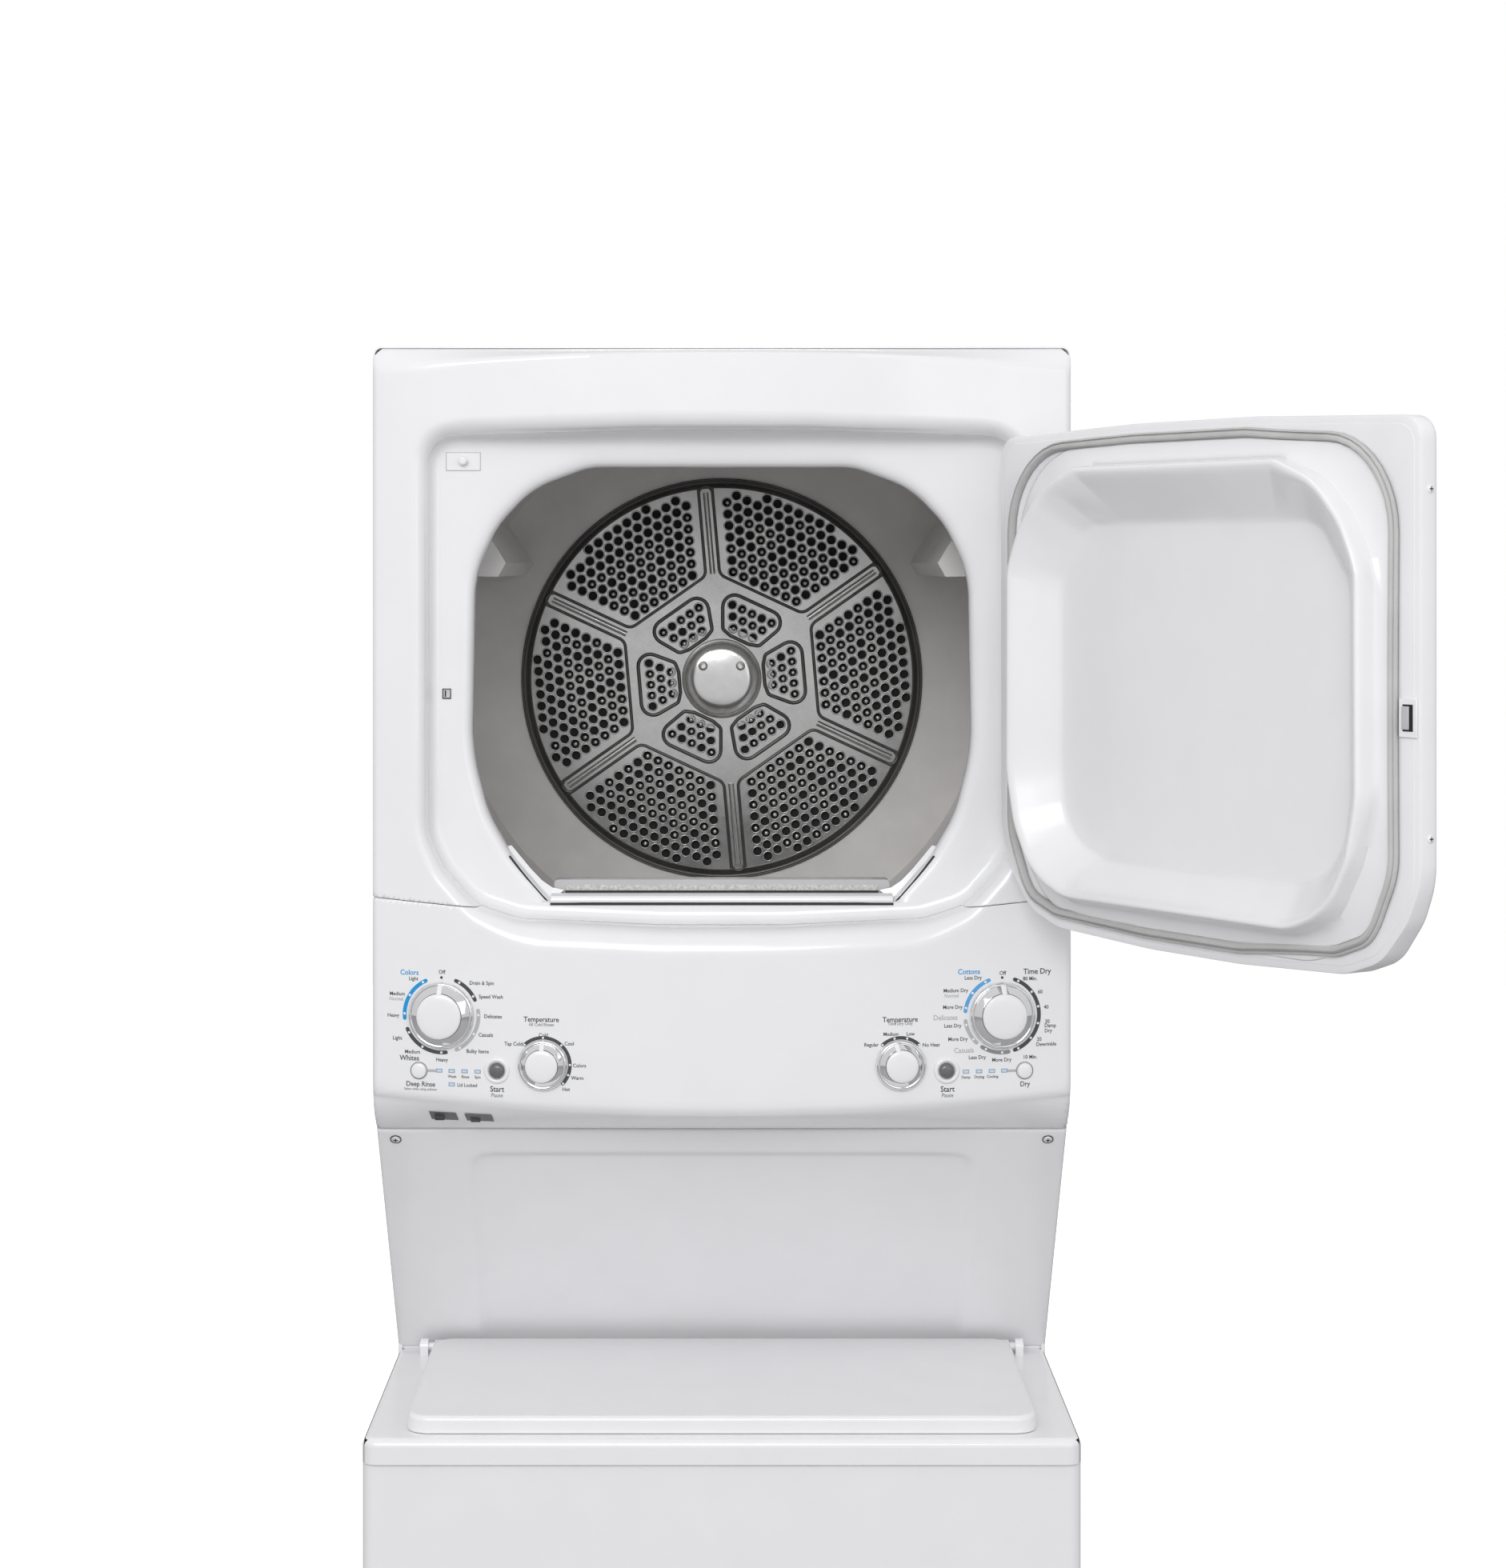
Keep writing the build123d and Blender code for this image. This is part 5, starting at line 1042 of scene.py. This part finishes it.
beads, grooves = [], []
for k in range(6):
    mid = 65 + 60 * k
    e_out, e_side = Vector(polar(1, mid)), Vector(polar(1, mid - 90))
    lo, hi = mid - 30, mid + 30
    def beside(deg, off, r):
        d = Vector(polar(1, deg))
        n = Vector((-d.y, d.x))
        return tuple(d * r + n * off)
    d = 107.5
    corner = rounded([beside(lo, 8.2, 224), beside(lo, 8.2, d / cos(radians(30)) - 2),
                      beside(hi, -8.2, d / cos(radians(30)) - 2), beside(hi, -8.2, 224)],
                     [0, 12, 12, 0], steps=8)
    grooves.append(tube(corner, 1.9, False, flat=0.7))
    path = rounded([beside(lo, 6.2, 58), tuple(e_out * 97 + e_side * 44), tuple(e_out * 97 - e_side * 44),
                    beside(hi, -6.2, 58), tuple(e_out * 50 - e_side * 12), tuple(e_out * 50 + e_side * 12)],
                   [6, 14, 14, 6, 4, 4], steps=6)
    grooves.append(tube(path, 2.2, True, flat=0.7))
    rib = [beside(lo, 0, 124 + 96 * t / 8) for t in range(9)]
    beads.append(tube(rib, 3.3, False, flat=0.75, sides=12))
    cap_pts = [beside(lo, 8.2, 221)] + [tuple(Vector(beside(lo, 0, 219)) + Vector(polar(8.2, lo + 90 - 18 * t)))
                                       for t in range(1, 10)] + [beside(lo, -8.2, 221)]
    grooves.append(tube(cap_pts, 1.9, False, flat=0.7))
v, f = joined(beads)
piece("drum_back_ribs", placed(v, STAND), f, "stainless", "drum", "stainless", angle=60)
# the grooves are dark tubes: painted shade in the embossing
v, f = joined(grooves)
piece("drum_back_grooves", placed(v, STAND), f, "groove_painted_shade_steel", "drum", "stainless", angle=60)
# the rim's dark ring is painted shade at the sheet's edge
v, f = lathe([(236, -1.0), (236, 3.0), (235, 4.2), (233.5, 4.0), (233, 1.0), (231, 0.4), (228, 0.9), (226, 1.6),
              (224.4, 1.2), (224, -0.6)], steps=160, cap=False)
piece("drum_back_rim", placed(v, STAND), f, "drum_rim", "drum", "drum_paint", angle=50)
v, f = lathe([(42, -0.5), (42, 3.6), (41.2, 5.0), (39.4, 6.0), (30, 7.4), (16, 8.3), (5, 8.7), (0.5, 8.75)],
             steps=96)
piece("hub_dome", placed(v, STAND), f, "hub_steel", "drum", "stainless", angle=40, replaces=("hub_plate",))
v, f = lathe([(47, 0.2), (46, 2.6), (43.5, 3.2), (42.3, 2.0), (42.2, 0.2)], steps=96, cap=False)
piece("hub_collar", placed(v, STAND), f, "stainless", "drum", "stainless", angle=50)
for i, sign in enumerate((-1, 1)):
    m = STAND @ Matrix.Translation((sign * 22, 15, 6.4))
    v, f = lathe([(5.4, 0.0), (5.4, 1.4), (4.6, 2.4), (3.0, 2.7), (2.8, 1.2), (0.4, 1.0)], steps=32)
    piece("hub_bolt_%d" % (i + 1), placed(v, m), f, "bolt_steel", "drum", "zinc_steel", angle=40)
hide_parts("hub_screws")


# ---------------------------------------------------------------- filter housing bar, corner plates, switches
def swept(section, x0, x1, steps=2):
    """Bar along X with the given (y, z) section."""
    n = len(section)
    verts = [(x0 + (x1 - x0) * k / (steps - 1), y, z) for k in range(steps) for y, z in section]
    return verts, grid_faces(steps, n, closed=True) + [tuple(range(n)), tuple(range((steps - 1) * n, steps * n))]


v, f = swept([(-279.6, 1382.9), (-281.4, 1383.6), (-282.3, 1385.0), (-282.0, 1387.4), (-280.6, 1389.8),
              (-278.0, 1390.9), (-264.0, 1391.4), (-264.0, 1382.9)], -167.5, 167.5)
piece("filter_bar", v, f, "white_plastic", "cabinet", "white_plastic", angle=50, bevel=0.5)
# dark bars under and over the filter bar: painted shade in the gaps
v, f = joined([swept([(-281.8, 1381.0), (-281.8, 1383.2), (-270.0, 1383.2), (-270.0, 1381.0)], -168.0, 168.0),
               swept([(-264.6, 1390.6), (-264.6, 1393.4), (-262.4, 1393.4), (-262.4, 1390.6)], -154.0, 154.0)])
piece("filter_bar_painted_shade", v, f, "shadow_gap", "cabinet", "black_plastic")
v, f = swept([(-262.0, 1391.0), (-262.0, 1397.2), (-261.2, 1398.2), (-259.2, 1398.2), (-258.8, 1391.0)],
             -153.0, 153.0, steps=90)
v = [(x, y, z + (random.random() * 1.3 if z > 1398 else 0.0)) for x, y, z in v]
piece("filter_felt", v, f, "felt_light", "cabinet", "felt", angle=50)
for side, sign in (("left", -1), ("right", 1)):
    outer_path = [(212.0, 1437.0), (206.5, 1430.0), (196.5, 1417.0), (185.0, 1403.0), (174.0, 1390.5),
                  (168.0, 1384.5)]
    inner_path = [(207.0, 1438.0), (200.5, 1430.0), (188.5, 1415.5), (177.0, 1403.5), (167.0, 1396.5),
                  (155.0, 1394.0)]
    v, faces = [], []
    for (a, b), (c, d) in zip(outer_path, inner_path):
        v += [(sign * a, -266.5, b), (sign * c, -264.0, d), (sign * c, -262.6, d), (sign * a, -265.0, b)]
    faces = grid_faces(6, 4, closed=True) + [(0, 1, 2, 3), (20, 21, 22, 23)]
    piece("corner_plate_" + side, v, faces, "white_plastic", "cabinet", "light_grey_plastic", angle=40)
    # dark strip along each corner plate's outer edge: painted shade in the gap
    v, faces = [], []
    for a, b in outer_path[1:]:
        v += [(sign * (a + 2.3), -277.9, b - 1.7), (sign * (a + 1.0), -277.3, b - 0.7),
              (sign * (a + 1.0), -275.0, b - 0.7), (sign * (a + 2.3), -275.0, b - 1.7)]
    faces = grid_faces(5, 4, closed=True) + [(0, 1, 2, 3), (16, 17, 18, 19)]
    piece("corner_painted_shade_" + side, v, faces, "shadow_gap", "cabinet", "black_plastic")
v, f = box_mesh(-269.4, -236.5, FLOOR_Y - 0.9, FLOOR_Y + 1.0, 1806.6, 1823.8)
piece("switch_plate", v, f, "white_plastic", "cabinet", "white_plastic", bevel=0.6,
      replaces=("door_switch_housing",))
# mid-grey box just larger than the plate, its edge showing round it: painted shade in the gap
v, f = box_mesh(-270.0, -235.9, FLOOR_Y - 0.35, FLOOR_Y + 1.0, 1806.0, 1824.4)
piece("switch_plate_painted_shade", v, f, "ink_light", "cabinet", "light_grey_plastic")


def chin_point(x, t, lift):
    """Point on the console's turned-under edge: t runs from its front crease to its back."""
    zc = float(chin_z(x))
    y0 = float(bow(x)) + 5.0
    bend = zc - (zc - 1159.0) * 0.55
    mid = y0 + (-264.0 - y0) * 0.36
    z = (1 - t) ** 2 * zc + 2 * t * (1 - t) * bend + t * t * 1159.0
    y = (1 - t) ** 2 * y0 + 2 * t * (1 - t) * mid - t * t * 264.0
    return (x, y - lift * 0.65, z - lift * 0.75)


frames = []
for left in (-285.0, -250.3):
    v, rows = [], 5
    for k in range(rows):
        t = 0.27 + 0.27 * k / (rows - 1)
        for j in range(9):
            v.append(chin_point(left + 26.5 * j / 8 + 1.8 * k / (rows - 1), t, 1.3))
    for k in range(rows):
        t = 0.27 + 0.27 * k / (rows - 1)
        for j in range(9):
            v.append(chin_point(left + 26.5 * j / 8 + 1.8 * k / (rows - 1), t, 0.2))
    frames.append((v, grid_faces(rows, 9) + grid_faces(rows, 9, offset=45)))
v, f = joined(frames)
piece("slide_switch_frames", v, f, "switch_grey", "cabinet", "grey_plastic", angle=30)
# strike: a small plated face with its slot, where the catch's tongue goes in; the dark plate round the face and the
# slot are near-black painted shade
STRIKE_X, STRIKE_Z = -269.2, 1588.0
v, f = box_mesh(STRIKE_X - 4.2, STRIKE_X + 4.2, FLOOR_Y - 0.9, FLOOR_Y + 0.6, STRIKE_Z - 5.0, STRIKE_Z + 5.0)
piece("strike_painted_shade_backing", v, f, "hole_dark", "cabinet", "zinc_steel", replaces=("door_strike",))
v, f = box_mesh(STRIKE_X - 3.2, STRIKE_X + 3.4, FLOOR_Y - 1.3, FLOOR_Y - 0.8, STRIKE_Z - 4.0, STRIKE_Z + 4.2)
piece("strike_face", v, f, "zinc_steel", "cabinet", "zinc_steel", bevel=0.2)
v, f = box_mesh(STRIKE_X - 1.9, STRIKE_X - 0.5, FLOOR_Y - 1.45, FLOOR_Y - 1.2, STRIKE_Z - 3.2, STRIKE_Z + 3.4)
piece("strike_slot", v, f, "hole_dark", "cabinet", "black_plastic")
# closes the corners where the front sheet's rounded shoulders leave the square side panels
for side, sign in (("left", -1), ("right", 1)):
    x0, x1 = sorted((sign * (HALF - 14.0), sign * (HALF - 0.2)))
    v, f = box_mesh(x0, x1, -285.0, -276.0, 1906.0, 1926.3)
    piece("shoulder_fill_" + side, v, f, "white_enamel", "cabinet", "white_enamel", bevel=4.5)
# foot of the slope sheet, standing on the deck
v, f = box_mesh(-HALF + 1.5, HALF - 1.5, -62.0, -57.5, 889.8, 894.0)
piece("slope_foot", v, f, "white_enamel", "cabinet", "white_enamel", bevel=0.4)
# closes the notch in the cabinet's sides under the slope's foot
for side, sign in (("left", -1), ("right", 1)):
    x0, x1 = sorted((sign * (HALF - 4.5), sign * (HALF - 0.2)))
    v, f = box_mesh(x0, x1, -66.0, -52.0, 868.0, 894.5)
    piece("slope_foot_end_" + side, v, f, "white_enamel", "cabinet", "white_enamel", bevel=0.4)


# ---------------------------------------------------------------- studio
def studio():
    floor = bpy.data.meshes.new("studio_floor")
    floor.from_pydata([(-9, -6, 0), (9, -6, 0), (9, 9, 0), (-9, 9, 0)], [], [(0, 1, 2, 3)])
    tree = M["floor"].node_tree
    nodes, link = tree.nodes, tree.links.new
    path = nodes.new("ShaderNodeLightPath")
    dim = socket(nodes, "ShaderNodeBsdfDiffuse", Color=(0.44, 0.44, 0.445, 1))
    either = nodes.new("ShaderNodeMixShader")
    link(path.outputs["Is Camera Ray"], either.inputs["Fac"])
    link(dim.outputs["BSDF"], either.inputs[1])
    link(nodes["Principled BSDF"].outputs["BSDF"], either.inputs[2])
    link(either.outputs["Shader"], nodes["Material Output"].inputs["Surface"])
    ground = bpy.data.objects.new("studio_floor", floor)
    floor.materials.append(M["floor"])
    bpy.context.scene.collection.objects.link(ground)
    world = bpy.data.worlds.new("studio_world")
    bpy.context.scene.world = world
    world.use_nodes = True
    tree = world.node_tree
    nodes, link = tree.nodes, tree.links.new
    back = nodes["Background"]
    coords = nodes.new("ShaderNodeTexCoord")
    split = nodes.new("ShaderNodeSeparateXYZ")
    link(coords.outputs["Generated"], split.inputs["Vector"])
    ramp = nodes.new("ShaderNodeValToRGB")
    ramp.color_ramp.elements[0].position = 0.0
    ramp.color_ramp.elements[0].color = (0.8, 0.8, 0.81, 1)
    ramp.color_ramp.elements[1].position = 1.0
    ramp.color_ramp.elements[1].color = (1, 1, 1, 1)
    level = nodes.new("ShaderNodeMapRange")
    level.inputs["From Min"].default_value = -1.0
    level.inputs["From Max"].default_value = 1.0
    link(split.outputs["Z"], level.inputs["Value"])
    link(level.outputs["Result"], ramp.inputs["Fac"])
    link(ramp.outputs["Color"], back.inputs["Color"])
    back.inputs["Strength"].default_value = 0.73
    plain = socket(nodes, "ShaderNodeBackground", Color=(1, 1, 1, 1), Strength=1.0)
    path = nodes.new("ShaderNodeLightPath")
    either = nodes.new("ShaderNodeMixShader")
    link(path.outputs["Is Camera Ray"], either.inputs["Fac"])
    link(back.outputs["Background"], either.inputs[1])
    link(plain.outputs["Background"], either.inputs[2])
    link(either.outputs["Shader"], nodes["World Output"].inputs["Surface"])
    for name, place, aim, size, power in (
            ("key_light", (-1.0, -4.4, 3.4), (0, 0, 1.3), (2.6, 2.0), 58),
            ("fill_light", (2.2, -4.0, 2.4), (0, 0, 1.4), (2.0, 2.4), 14),
            ("front_light", (-0.2, -3.9, 2.95), (0, 0.2, 1.5), (1.8, 0.6), 17)):
        data = bpy.data.lights.new(name, "AREA")
        data.shape = "RECTANGLE"
        data.size, data.size_y = size
        data.energy = power
        lamp = bpy.data.objects.new(name, data)
        lamp.location = place
        lamp.rotation_euler = (Vector(aim) - Vector(place)).to_track_quat("-Z", "Y").to_euler()
        bpy.context.scene.collection.objects.link(lamp)
    data = bpy.data.cameras.new("camera")
    data.sensor_fit = "AUTO"
    data.sensor_width = 36.0
    data.lens = 69.15
    data.shift_x = 0.0199
    data.shift_y = -0.1403
    cam = bpy.data.objects.new("camera", data)
    cam.location = (0, -3.230, 1.715)
    cam.rotation_euler = (radians(90), 0, 0)
    bpy.context.scene.collection.objects.link(cam)
    bpy.context.scene.camera = cam
    bpy.context.scene.view_settings.view_transform = "Standard"


studio()
